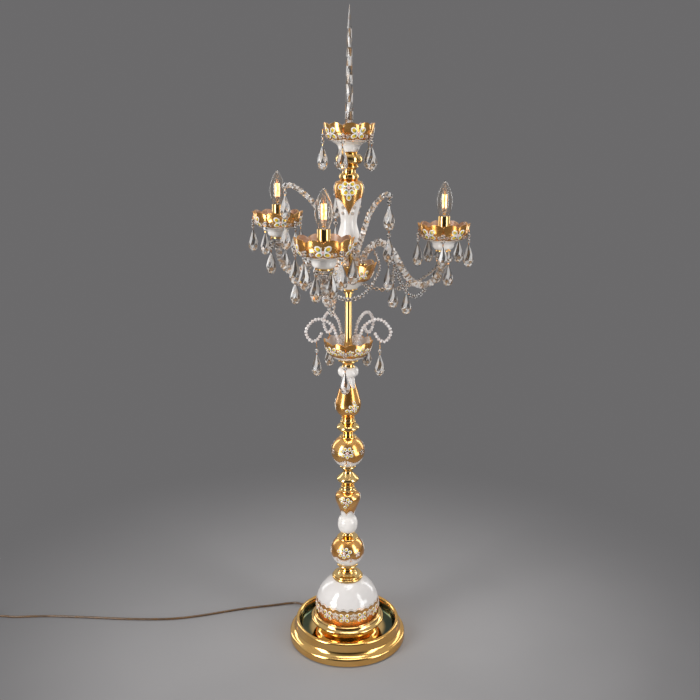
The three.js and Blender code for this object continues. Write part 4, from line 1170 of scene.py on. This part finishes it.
# Enamel flowers: a pattern is a list of petals (across, up, length, width, turn) about its middle.
def petal_pattern(kind):
    """A rounded petal that carries its own shading and, in blue, which of the three enamels it has."""
    shape = bmesh.new()
    bmesh.ops.create_uvsphere(shape, u_segments=10, v_segments=6, radius=1)
    layer = shape.verts.layers.float_color.new("petal")
    for knot in shape.verts:
        heart = math.hypot(knot.co.x, knot.co.y)
        knot[layer] = (heart, 0.5 - 0.5 * knot.co.x, kind, 1)
    return pattern_of(paint(shape, ENAMEL))


PETAL, MIDDLE, GHOST = (petal_pattern(kind) for kind in (0.0, 0.5, 1.0))


def rays(*places, length=9.0, width=7.2):
    """Petals at the places given from the middle of a flower, each pointing away from it."""
    return [(x, z, length, width, math.atan2(z, x)) for x, z in places]


CROSS = rays((-8.8, 5.2), (8.8, 5.2), (-8, -6.6), (8, -6.6), length=15.6, width=11.4)
CROSS += rays((-17.5, -4), (17.5, -4), (-3, 9.5), (3.6, 10.4), (0, -12.5), length=2.4, width=2.4)
TRIANGLE = rays(
    (-7.6, 6.4), (7.6, 6.4), (-17.5, 0.5), (17.5, 0.5), (-6.2, -10), (6.4, -10), length=14.6, width=11.8
)
TRIANGLE += rays((0, -21), length=15, width=11) + rays((-7.4, -1.5), (7.8, -1.5), length=4, width=4)
SPRAY = rays(
    (-5, 8), (5, 8.4), (13.6, 3.4), (-13.4, 3), (-8.4, -5.4), (0, -8.6), (8.8, -5.4), length=10, width=8
)
CORNER = rays(
    (1.5, 13.5), (-7, 4.6), (4, 5.4), (9, 1.4), (-15, -4), (-6, -5), (4.4, -5.4), length=9.8, width=7.8
)
HEART = rays(
    (-12, 5.4), (-5, 9), (5, 7.4), (10.6, 2.2), (-7.6, -0.6), (3.4, -5), (-2, -13), length=9.6, width=7.6
)
MID_CROSS = rays((-6.4, 5.6), (6.2, 6), (-6, -5.6), (6.4, -5.4), length=11.4, width=8.8)
MID_BLOSSOM = rays((-4.8, 4), (4.8, 4), (0, 6.4), (-4.2, -3.4), (4.2, -3.4), length=7, width=5.8)
BLOSSOM = rays((-3.6, 3), (3.6, 3), (0, 5), (-3.2, -2.6), (3.2, -2.6), length=5.4, width=4.4)


def skin_place(skin, angle, height, rims):
    """A point on a turned skin, its angle in radians; rims are a scalloped cup's foot and rim, or None."""
    radius = skin[-1][0]
    for (r1, z1), (r2, z2) in zip(skin, skin[1:]):
        if z1 <= height <= z2 and z2 > z1:
            radius = r1 + (r2 - r1) * (height - z1) / (z2 - z1)
            break
    point = Vector((radius * math.sin(angle), -radius * math.cos(angle), height))
    return scalloped(point, *rims) if rims else point


# Steps to the sides and up a skin that are small enough to show how it slopes
SIDE_STEP = 0.01
RISE_STEP = 0.4
SLOPE_STEP = 2
LEAST_CLIMB = 0.35


def skin_frame(skin, angle, height, rims):
    """A point on a turned skin, and the directions across the skin, up along it and out of it."""
    right, left = (skin_place(skin, angle + step, height, rims) for step in (SIDE_STEP, -SIDE_STEP))
    above, below = (skin_place(skin, angle, height + step, rims) for step in (RISE_STEP, -RISE_STEP))
    across = (right - left).normalized()
    rising = above - below
    normal = across.cross(rising).normalized()
    return skin_place(skin, angle, height, rims), across, normal.cross(across), normal


def enamelled(shape, skin, angle, height, petals, rims=None, pattern=None, rise=1.1, middle=3.4):
    """A flower on a turned skin, its petals half sunk in the glass and its middle a little higher."""
    pattern = pattern or PETAL
    centre = skin_place(skin, math.radians(angle), height, rims)
    reach = math.hypot(centre.x, centre.y)
    slope = skin_place(skin, math.radians(angle), height + SLOPE_STEP, rims) - centre
    climb = max(LEAST_CLIMB, slope.z / slope.length)
    parts = [(x, z, length / 2, width / 2, turn, rise, pattern) for x, z, length, width, turn in petals]
    parts.append((0, 0, middle, middle, 0, 1.3 * rise, MIDDLE))
    for x, z, long, wide, turn, thick, mesh in parts:
        around = math.radians(angle) + x / reach
        point, across, rising, normal = skin_frame(skin, around, height + z * climb, rims)
        along = across * math.cos(turn) + rising * math.sin(turn)
        side = normal.cross(along)
        basis = Matrix((along * long, side * wide, normal * thick)).transposed().to_4x4()
        stamp(shape, mesh, Matrix.Translation(point) @ basis)


def studded(shape, skin, angle, height, size, rims=None):
    """A clear stone set on a turned skin."""
    point, across, rising, normal = skin_frame(skin, math.radians(angle), height, rims)
    basis = Matrix((across * size, rising * size, normal * size)).transposed().to_4x4()
    stamp(shape, CABOCHON, Matrix.Translation(point) @ basis)


# Cups
CANDLE_FOOT, TOP_FOOT, MIDDLE_FOOT, HUB_FOOT = 12.3, 12.2, 6.5, 14.1
candle_belly = ((20.5, 2.6), (23.4, 7), (24.2, CANDLE_FOOT), (27, 16.6), (34.8, 20.2), (43.4, 23.3))
candle_skin = bellflower(16.5, 58, 58.7, candle_belly)
top_skin = bellflower(19, 54.5, 58, ((22, 6), (24, TOP_FOOT), (28, 16), (36, 20), (41, 23.2)))
middle_skin = plain_cup(20, 54.5, 45, ((36, MIDDLE_FOOT), (44.7, 16), (50.8, 27)))
hub_skin = plain_cup(19.6, 61, 57, ((35, HUB_FOOT), (44.6, 19.1), (52.3, 31.1)))


ROSE = (0.60, 0.36, 0.23)
MIDDLE_TONE = (0.92, 0.83, 0.78)
HUB_TONE = (0.72, 0.50, 0.36)
STUD_ANGLE = 9.6
STUD_SHARE = 0.40


def repeated(first, *values, count=CUP_DROPS):
    """The same thing at even angles round a cup, from the first angle on."""
    return [(first + 360 / count * k, *values) for k in range(count)]


def cup_piece(name, node, place, skin, foot, flowers, chains, gilding, tone, size=1.0):
    """flowers: (angle, height, petals, middle); chains: (angle, hook radius, hook height, drops, beads).

    The gilding's edge is given above the cup's foot. Two stones of the size stand beside each chain.
    """
    rims = (foot, skin[-1][1])
    shape = cup_shape(skin, foot)
    for angle, height, petals, middle in flowers:
        enamelled(shape, skin, angle, height, petals, rims, middle=middle)
    for angle, radius, height, drops, beads in chains:
        spot = hook_into(shape, angle, radius, height)
        if drops:
            hang(shape, spot, drops, beads)
        for side in (-1, 1):
            stud_height = rims[0] + STUD_SHARE * (rims[1] - rims[0])
            studded(shape, skin, angle + STUD_ANGLE * side, stud_height, size, rims)
    move(shape, place)
    centre = place.translation
    material = gilt_glass(name + "_gilding", centre=(centre.x, centre.y), Lobes=CUP_DROPS, **gilding)
    finishes = {MAIN: material, INSIDE: inside_glass(name + "_inside", tone), **FINISHES}
    make_piece(name, shape, "root", finishes, [node])


def candle_place(side):
    """The end of an arm, where its candle stands, turned as its cup is."""
    angle = math.radians(ARM_ANGLES[side])
    height = PLATE_TOP + ARM_END + ARM_LIFTS[side]
    spot = Vector((math.sin(angle) * ARM_REACH, -math.cos(angle) * ARM_REACH, height))
    return Matrix.Translation(spot) @ Matrix.Rotation(math.radians(DROP_ANGLES[side]), 4, "Z")


cross_flowers = repeated(36, 38, CROSS, 3.4)
cup_chain = ([(CUP_DROP, -31)], [-22, -11])
for side in SIDES:
    place = candle_place(side) @ Matrix.Translation((0, 0, CUP_SEAT))
    level = PLATE_TOP + ARM_END + ARM_LIFTS[side] + CUP_SEAT
    gilding = dict(Edge=level + 25.5, Turn=math.radians(DROP_ANGLES[side]), Dip=1.6)
    chains = repeated(0, 54.4, 45.3, *cup_chain)
    name = "candle_cup_glass_" + side
    node = "candle_cup_" + side
    cup_piece(name, node, place, candle_skin, CANDLE_FOOT, cross_flowers, chains, gilding, ROSE)

level = LEVELS["top_cup"]
turn = math.radians(TOP_TURN)
place = Matrix.Translation((0, 0, level)) @ Matrix.Rotation(turn, 4, "Z")
staples = repeated(0, 50.97, 44.7, [], [])
gilding = dict(Edge=level + 25, Turn=turn, Dip=1.6)
cup_piece("top_cup_glass", "top_cup", place, top_skin, TOP_FOOT, cross_flowers, staples, gilding, ROSE)

level = LEVELS["mid_cup"]
turn = math.radians(MIDDLE_TURN)
place = Matrix.Translation((0, 0, level)) @ Matrix.Rotation(turn, 4, "Z")
flowers = repeated(36, 26.5, MID_CROSS, 2.8)
flowers += repeated(12, 23, MID_BLOSSOM, 2.4) + repeated(60, 24, MID_BLOSSOM, 2.4)
chains = [(0, 51.3, 33.1, [(CUP_DROP, -49)], [-40, -11])]
gilding = dict(Edge=level + 12, Turn=turn, Dip=1.5)
cup_piece(
    "middle_cup_glass", "mid_cup", place, middle_skin, MIDDLE_FOOT, flowers, chains, gilding, MIDDLE_TONE, 0.8
)

level = LEVELS["hub_cup"]
place = Matrix.Translation((0, 0, level))
flowers = repeated(36, 35, MID_CROSS, 2.8) + repeated(8, 30, MID_BLOSSOM, 2.4)
gilding = dict(Edge=level + 19.5, Dip=1.5)
cup_piece("hub_cup_glass", "hub_cup", place, hub_skin, HUB_FOOT, flowers, [], gilding, HUB_TONE)


# Top drops, each on its wire staple
STAPLE_DISTANCE = 54.59
staple_loop = wire_loop(2.1, 0.5)
for number, (angle,) in enumerate(repeated(TOP_TURN), 1):
    shape = bmesh.new()
    spot = turned_by(angle, LEVELS["top_staples"], STAPLE_DISTANCE)
    stamp(shape, staple_loop, spot @ Matrix.Translation((0, 0, -0.3)))
    hang(shape, spot @ Matrix.Translation((0, 0, -2.4)), *cup_chain)
    body = "top_pendant_" + str(number)
    make_piece("top_drop_" + str(number), shape, body, FINISHES, [body])


# Arms and canes: a ring of corners is drawn along a path and turns as it goes.
def swept(places, count, sides, width, turns=0.0):
    """places: distances from the column and heights, in the upright plane towards +x."""
    path = smooth_path([(distance, 0, height) for distance, height in places], count)
    across = Vector((0, 1, 0))

    def frame_at(i):
        run = (path[min(i + 1, count)] - path[max(i - 1, 0)]).normalized()
        basis = Matrix((run.cross(across), across, run)).transposed().to_4x4()
        turn = Matrix.Rotation(2 * math.pi * turns * i / count, 4, "Z")
        return Matrix.Translation(path[i]) @ basis @ turn @ Matrix.Scale(width(i / count), 4)

    shape = bmesh.new()
    bmesh.ops.create_circle(shape, cap_ends=True, segments=sides, radius=1)
    rim = list(shape.edges)
    move(shape, frame_at(0))
    for i in range(1, count + 1):
        grown = bmesh.ops.extrude_edge_only(shape, edges=rim)["geom"]
        fresh = [part for part in grown if isinstance(part, bmesh.types.BMVert)]
        known = set(fresh)
        rim = [part for part in grown if isinstance(part, bmesh.types.BMEdge) and set(part.verts) <= known]
        bmesh.ops.transform(shape, matrix=frame_at(i) @ frame_at(i - 1).inverted(), verts=fresh)
    bmesh.ops.contextual_create(shape, geom=rim)
    bmesh.ops.recalc_face_normals(shape, faces=shape.faces)
    return paint(shape, MAIN)


CUT_SIDES = 6
BEAD_TURN = 22
BEAD_WAIST = 0.78
# How many beads, the radius at the foot, and the radius at the tip or a share of it between two beads
ARM_BEADS, ARM_RADIUS, ARM_TIP = 38, 8.8, 8.4
CANE_BEADS, CANE_RADIUS, CANE_TIP = 25, 7.3, 5.9
CURL_BEADS, CURL_RADIUS, CURL_WAIST = 30, 4, 0.34
CURL_HOOK = (72, 0, 36)


def twisted(places, beads, radius, tip):
    """A rod of glass that swells and narrows once a bead, its flat cut faces turning as they go."""
    count = 2 * beads

    def width(share):
        return (radius + (tip - radius) * share) * (BEAD_WAIST if round(share * count) % 2 else 1)

    shape = swept(places, count, CUT_SIDES, width, BEAD_TURN * count / 360)
    # Faces picked by position get a painted highlight or a painted amber glint; the rest stay plain twisted
    # glass
    for face in shape.faces:
        middle = face.calc_center_median()
        glint_pick = math.sin(3.1 * middle.x + 5.7 * middle.y + 7.9 * middle.z)
        face.material_index = PAINTED_HIGHLIGHT if glint_pick > 0.3 else PAINTED_AMBER_GLINT if glint_pick < -0.8 else TWIST
    return shape


def arm_places(lift):
    """The path of an arm; only its outer part follows the lift."""

    def outer(share, height):
        distance = ARM_SOCKET + (ARM_REACH - ARM_SOCKET) * share
        return (distance, height + lift * smoothstep(share, 0.3, 0.7))

    bend = [(0.064, 48), (0.182, 62), (0.321, 50), (0.471, 10)]
    bend += [(0.567, -14), (0.701, -29), (0.856, -25), (0.957, -6)]
    return [
        *((ARM_SOCKET, height) for height in (-1.7, 18, 26)),
        *(outer(*point) for point in bend),
        (ARM_REACH, 21 + lift),
        (ARM_REACH, 33.7 + lift),
    ]


def cane_shape(lift):
    """A rising cane with a faceted ball at its tip, and its chain of beads and drops."""
    low = [(CANE_SOCKET, -1.7), (CANE_SOCKET, 18), (24.5, 30), (33, 56), (46.5, 82 + lift / 3)]
    high = [(70.5, 129), (99.5, 159), (123, 171.5), (133.5, 170)]
    high = [(distance, height + lift) for distance, height in high]
    shape = twisted([*low, *high], CANE_BEADS, CANE_RADIUS, CANE_TIP)
    tip = Matrix.Translation((high[-1][0], 0, high[-1][1]))
    ball = [(0, 7, 0), (4.6, 5, 0), (6.8, 1.8, 1), (6.8, -1.8, 0), (4.6, -5, 1), (0, -7, 0)]
    merged(shape, cut_stone(ball), tip)
    hang(shape, tip, [(CANE_DROP, -20), (CUP_DROP, -84)], [-13, -78])
    return shape


def curl_shape():
    """A curled cane that stands in the middle cup, drawn as round beads, with its drop."""
    places = [(22, -2.7), (22, 14), (23.4, 32.7), (28, 45.5), (33.5, 61), (42.5, 71), (55.9, 79.3)]
    places += [(66, 81.5), (80, 78), (95.5, 59), (93, 45), (82, 34), (70, 37), (59.5, 52)]

    def width(share):
        return CURL_RADIUS * (CURL_WAIST + (1 - CURL_WAIST) * abs(math.sin(math.pi * CURL_BEADS * share)))

    shape = swept(places, 8 * CURL_BEADS, 10, width)
    hang(shape, Matrix.Translation(CURL_HOOK), [(CURL_DROP, -33)], [-24])
    return shape


for side in SIDES:
    shape = twisted(arm_places(ARM_LIFTS[side]), ARM_BEADS, ARM_RADIUS, ARM_TIP)
    move(shape, turned_by(ARM_ANGLES[side], PLATE_TOP))
    make_piece("twisted_arm_" + side, shape, "root", FINISHES, ["arm_" + side])

for number, (angle, lift) in enumerate(CANE_PLACES, 1):
    shape = move(cane_shape(lift), turned_by(angle, PLATE_TOP))
    node = "upper_cane_" + str(number)
    make_piece("rising_cane_" + str(number), shape, "root", FINISHES, [node])

finishes = {MAIN: pearl, **FINISHES}
for number, angle in enumerate(CURL_ANGLES, 1):
    shape = move(curl_shape(), turned_by(angle, LEVELS["lower_canes"]))
    node = "lower_cane_" + str(number)
    make_piece("beaded_curl_" + str(number), shape, "root", finishes, [node], crease=60)


# Hub: a boss, the plate and its six sockets
ARM_BORE, CANE_BORE = 7.3, 6.6


def socket_shape(bore):
    line = [(bore, 28.8), (bore + 1.8, 28.8)]
    line += curve((bore + 1.5, 32), (bore + 1.2, 44), (bore + 1.9, 46), steps=8)
    return spun([*line, (bore + 1.2, 47.8), (bore, 47.8)], 32)


def make_hub():
    outline = bored(
        [
            (16, 0),
            (16, 21.8),
            *ring((39, 21.8), 40.6, (39, 29.8), 8),
            *curve((15, 30), (11.6, 42), (10, 58), steps=10),
            *curve((10, 84), (12, 86.6), (19, 88.6), steps=8),
            *ring((19, 88.8), 20.8, (18.6, 95.8), 8),
        ]
    )
    shape = spun(outline)
    sockets = [(angle, ARM_SOCKET, ARM_BORE) for angle in ARM_ANGLES.values()]
    sockets += [(angle, CANE_SOCKET, CANE_BORE) for angle, lift in CANE_PLACES]
    for angle, distance, bore in sockets:
        merged(shape, socket_shape(bore), turned_by(angle, 0, distance))
    move(shape, Matrix.Translation((0, 0, LEVELS["hub_body"])))
    make_piece("hub_plate", shape, "root", {MAIN: brass}, ["hub_body"])


make_hub()


# Candles: gallery, sleeve and bulb
def gallery_shape():
    """A clear, fluted holder that the arm ends in, with a brass plate and nipple on it."""
    line = [(0, 12), (7.9, 12), (8.3, 0), *ring((9, 0), 11, (10.6, 4.4), 8)]
    line += [*curve((10, 5), (9.6, 9), (11, 14), (15, 20), steps=14), (15.4, 21.4), (0, 21.4)]
    shape = spun(line, 48)
    plate = [(0, 21.6), (15.6, 21.6), *ring((16, 21.6), 17.2, (16, 25), 8), (5, 25), (5, 38), (0, 38)]
    merged(shape, spun(plate, 64, PIN))
    return shape


NIPPLE_TOP = 38 - 28.9
sleeve_line = [(0, NIPPLE_TOP), (5.3, NIPPLE_TOP), (5.3, 0), (12.4, 0), (13, 0.8), (13, 68.4), (12.6, 69.4)]
sleeve_line += [(11.6, 69.4), (11.6, 63.4), (7.3, 63.4), (7.3, 41.4), (0, 41.4)]
bulb_skin = curve(
    (10.5, 0), (12.4, 6), (15.8, 15), (18, 30), (16.6, 44), (12.1, 57.8), (6.8, 68), (3.2, 73.6), (0, 77),
    steps=44,
)


def glow_material(name, deep, bright, strength):
    """Glowing glass, yellower in some places than in others."""
    material, tree, shader = new_material(name, Roughness=0.4, Emission_Strength=strength)
    coordinates = tree.nodes.new("ShaderNodeTexCoord")
    noise = node_of(tree, "ShaderNodeTexNoise", Scale=160.0, Detail=1.0)
    tree.links.new(coordinates.outputs["Object"], noise.inputs["Vector"])
    colour = mix_of(tree, between(tree, noise.outputs["Fac"], 0.35, 0.65), deep, bright)
    tree.links.new(colour, shader.inputs["Emission Color"])
    tree.links.new(colour, shader.inputs["Base Color"])
    return material


glow = glow_material("glowing_bars", (1.0, 0.50, 0.20), (1.0, 0.70, 0.40), 3.6)
# Painted glow: the core inside the bulb glows as a stand-in for the halo round the bars
painted_halo_core = glow_material("painted_halo_glow", (0.75, 0.27, 0.05), (0.95, 0.42, 0.12), 0.9)


BULB_WALL = 0.8
BULB_BARS = 4
BAR_DISTANCE = 4.8
WIRE_LEAN = -11


def bulb_shape():
    """A clear bulb with its brass cap and its glass stem, and glowing bars round a core that glows dimly as a
    painted halo of their light.
    """
    outer = list(reversed(bulb_skin))
    inner = [(max(0.0, radius - BULB_WALL), height * 0.987) for radius, height in bulb_skin]
    inner[-1] = (0, bulb_skin[-1][1] - 1)
    shape = spun([*outer, *inner], 48, CRYSTAL)
    cap = [(0, -26), (4.5, -26), (7, -24), (7, -3), (10.2, -1), (10.2, -0.2), (0, -0.2)]
    merged(shape, spun(cap, 40, PIN))
    stem = [(0, 0), *curve((7, 0.2), (4.4, 4), (2.2, 12), (1.5, 18), steps=12), (0, 19)]
    merged(shape, spun(stem, 20, CRYSTAL))
    bar = [(0, 17), (0.8, 17.6), (1.0, 20), (1.0, 44), (0.8, 46.4), (0, 47)]
    wire = [(0, 11), (0.28, 11), (0.28, 17.4), (0, 17.4)]
    for k in range(BULB_BARS):
        turn = Matrix.Rotation(math.radians(360 / BULB_BARS * k + 30), 4, "Z")
        place = turn @ Matrix.Translation((BAR_DISTANCE, 0, 0))
        merged(shape, spun(bar, 12, ENAMEL), place)
        merged(shape, spun(wire, 6, PIN), place @ Matrix.Rotation(math.radians(WIRE_LEAN), 4, "Y"))
    # The core glows with painted light, a halo round the bars
    core = [(0, 18), *curve((0.4, 18), (1.7, 24), (1.9, 34), (1.4, 44), (0.4, 54), steps=12), (0, 54)]
    merged(shape, spun(core, 12, INSIDE))
    return shape


GALLERY_FINISHES = {MAIN: cane_glass, PIN: brass}
BULB_FINISHES = {INSIDE: painted_halo_core, CRYSTAL: bulb_glass, PIN: brass, ENAMEL: glow}
for side in SIDES:
    place = candle_place(side)
    shape = move(gallery_shape(), place)
    make_piece("clear_gallery_" + side, shape, "root", GALLERY_FINISHES, ["gallery_" + side])
    shape = move(spun(sleeve_line, 64), place @ Matrix.Translation((0, 0, SLEEVE_SEAT)))
    make_piece("sleeve_brass_" + side, shape, "root", {MAIN: brass}, ["candle_sleeve_" + side])
    shape = move(bulb_shape(), place @ Matrix.Translation((0, 0, BULB_SEAT)))
    body = "bulb_" + side
    piece = make_piece("candle_bulb_" + side, shape, body, BULB_FINISHES, [body])
    for face in piece.data.polygons:
        face.use_smooth = True


# Enamel on the column
DOME_FLOWERS = 11
PALE_FLOWER = dict(pattern=GHOST, middle=2)


def column_flowers():
    """Three bunches round each gilt piece, pale ones between them, and a row of flowers round the dome."""
    shape = bmesh.new()
    low_line = raised(low_ball, "ball_lower")
    high_line = raised(high_ball, "ball_upper")
    dome_line = raised(dome_skin, "glass_dome")
    low_vase = raised(swelling[1:-1], "vase_lower")
    pear_line = raised(pear[1:-1], "baluster")
    hub_vase = raised(vase[1:-1], "hub_vase")
    for k in range(3):
        third = 120 * k
        enamelled(shape, low_line, -12 + third, 230, SPRAY)
        enamelled(shape, low_line, 38 + third, 224, BLOSSOM, **PALE_FLOWER)
        enamelled(shape, high_line, -2 + third, 474, SPRAY)
        enamelled(shape, low_vase, -10 + third, 351, HEART, middle=2.8)
        enamelled(shape, pear_line, 26 + third, 574, CORNER, middle=2.8)
        enamelled(shape, hub_vase, third, 1054, TRIANGLE)
        for turn in (-60, 60):
            enamelled(shape, high_line, turn - 2 + third, 470, BLOSSOM, **PALE_FLOWER)
    for k in range(DOME_FLOWERS):
        angle = -38 + 360 * k / DOME_FLOWERS
        enamelled(shape, dome_line, angle, 86.5, MID_CROSS, rise=0.9, middle=2.8)
        enamelled(shape, dome_line, angle + 180 / DOME_FLOWERS, 88, MID_BLOSSOM, rise=0.7, **PALE_FLOWER)
    for k in range(6):
        studded(shape, hub_vase, 60 * k + 22, 1000, 0.8)
        studded(shape, hub_vase, 60 * k + 30, 1012, 0.8)
    make_piece("column_enamel", shape, "root", FINISHES)


column_flowers()


# Bead garlands between the arms, and a string of beads with the drops under each arm
BEAD_PITCH = 12.6
LINK_PIN = 0.45
LINK_REACH = 1.8


def string_beads(shape, points, facing=None):
    """Flat beads side by side along a line, joined by gold pins, facing away from the column or as given."""
    count = max(2, round(length_of(smooth_path(points, 60)) / BEAD_PITCH))
    path = smooth_path(points, count)
    for before, after in zip(path, path[1:]):
        along = (after - before).normalized()
        middle = (before + after) / 2
        out = facing or Vector((middle.x, middle.y, 0))
        out = (out - along * out.dot(along)).normalized()
        turn = Matrix((out, along.cross(out), along)).transposed().to_4x4()
        stamp(shape, BEAD, Matrix.Translation(middle) @ turn)
        add_pin(shape, Matrix.Translation(before) @ turn, LINK_PIN, -LINK_REACH, LINK_REACH, 5)


def sagging(start, end, lowest):
    """A line between two points that hangs to a lowest height, where its ends are level."""
    start, end = Vector(start), Vector(end)
    fall = 4 * ((start.z + end.z) / 2 - lowest)
    points = [start.lerp(end, i / 12) for i in range(13)]
    for i, point in enumerate(points):
        point.z -= fall * (i / 12) * (1 - i / 12)
    return points


GARLANDS = {
    "garland_right": [
        (55, 17.6, 917), (67, 6, 887), (50, -25, 851), (28, -50, 832), (1, -80, 829), (-20, -110, 840),
        (-30.5, -142, 853),
    ],
    "garland_left": sagging((-41, -37, 917), (-130, 117.7, 872), 838),
    "garland_back": sagging((-62, 56, 915), (203, 72, 880), 825),
}
for name, points in GARLANDS.items():
    shape = bmesh.new()
    string_beads(shape, points)
    make_piece(name, shape, "root", FINISHES)

# The hooks under an arm as (distance, height, drops, beads), and the chains below each candle cup's foot as
# (angle, drops, beads)
ARM_DROPS = {
    "front": [],
    "right": [
        (91, 41, [(CANE_DROP, -30)], [-9, -20]),
        (103, 27, [(CUP_DROP, -56)], [-23, -34.5, -46]),
        (134, -18, [(CUP_DROP, -27)], [-9, -20]),
    ],
    "left": [(91, 41, [(CANE_DROP, -30)], [-9, -20]), (164, -38, [(CUP_DROP, -17)], [-9])],
}
HOLDER_DROPS = {
    "front": (-38, [(CUP_DROP, -17)], [-8]),
    "right": (24, [(SHORT_DROP, -2), (CUP_DROP, -32)], []),
    "left": (-38, [(CUP_DROP, -37)], [-14, -26]),
}
HOLDER_HOOK = (20.6, 28)
for side in SIDES:
    lift = ARM_LIFTS[side]
    shape = bmesh.new()
    swag = sagging((101, 0, 29 + lift), (180, 0, -36 + lift), -50 + lift)
    string_beads(shape, swag, facing=Vector((0, -1, 0)))
    for distance, height, drops, beads in ARM_DROPS[side]:
        hang(shape, Matrix.Translation((distance, 0, height + lift)), drops, beads)
    move(shape, turned_by(ARM_ANGLES[side], PLATE_TOP))
    foot = Matrix.Translation(candle_place(side).translation)
    angle, drops, beads = HOLDER_DROPS[side]
    chains = bmesh.new()
    for turn in (0, 180):
        hang(chains, hook_into(chains, angle + turn, *HOLDER_HOOK), drops, beads)
    merged(shape, chains, foot)
    make_piece("arm_swag_" + side, shape, "root", FINISHES)


# Spire: the CAD's own cut rod, its finishes changing from face to face among twisted glass, clear crystal,
# painted highlights, painted shade and painted amber glints
SPIRE_SIDES = 16
SPIRE_ROW = 17.7
SPIRE_FINISHES = (TWIST, PAINTED_HIGHLIGHT, CRYSTAL, SHADE, TWIST, PAINTED_HIGHLIGHT, PAINTED_AMBER_GLINT)


def cut_spire():
    shape = bmesh.new()
    shape.from_mesh(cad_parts["spire"].data)
    bmesh.ops.remove_doubles(shape, verts=shape.verts, dist=1e-6)
    bmesh.ops.scale(shape, vec=(1 / MM, 1 / MM, 1 / MM), verts=shape.verts)
    low = min(knot.co.z for knot in shape.verts)
    for face in shape.faces:
        middle = face.calc_center_median()
        column = round(SPIRE_SIDES * math.atan2(middle.y, middle.x) / math.tau)
        row = int((middle.z - low) / SPIRE_ROW)
        face.material_index = SPIRE_FINISHES[(3 * column + 5 * row) % len(SPIRE_FINISHES)]
    make_piece("cut_spire", shape, "root", FINISHES, ["spire"])


cut_spire()


# Finishes of the CAD pieces that stay as they are
KEPT = (
    (felt, ("felt_pad",)),
    (steel, ("base_cover", "tube_nut", "stem_tube")),
    (iron, ("ballast_ring",)),
    (brass, ("spire_socket",)),
    (moulding, ("cord_gland", "switch_body", "switch_button", "plug")),
)
for material, nodes in KEPT:
    for node in nodes:
        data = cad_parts[node].data
        data.materials.clear()
        data.materials.append(material)
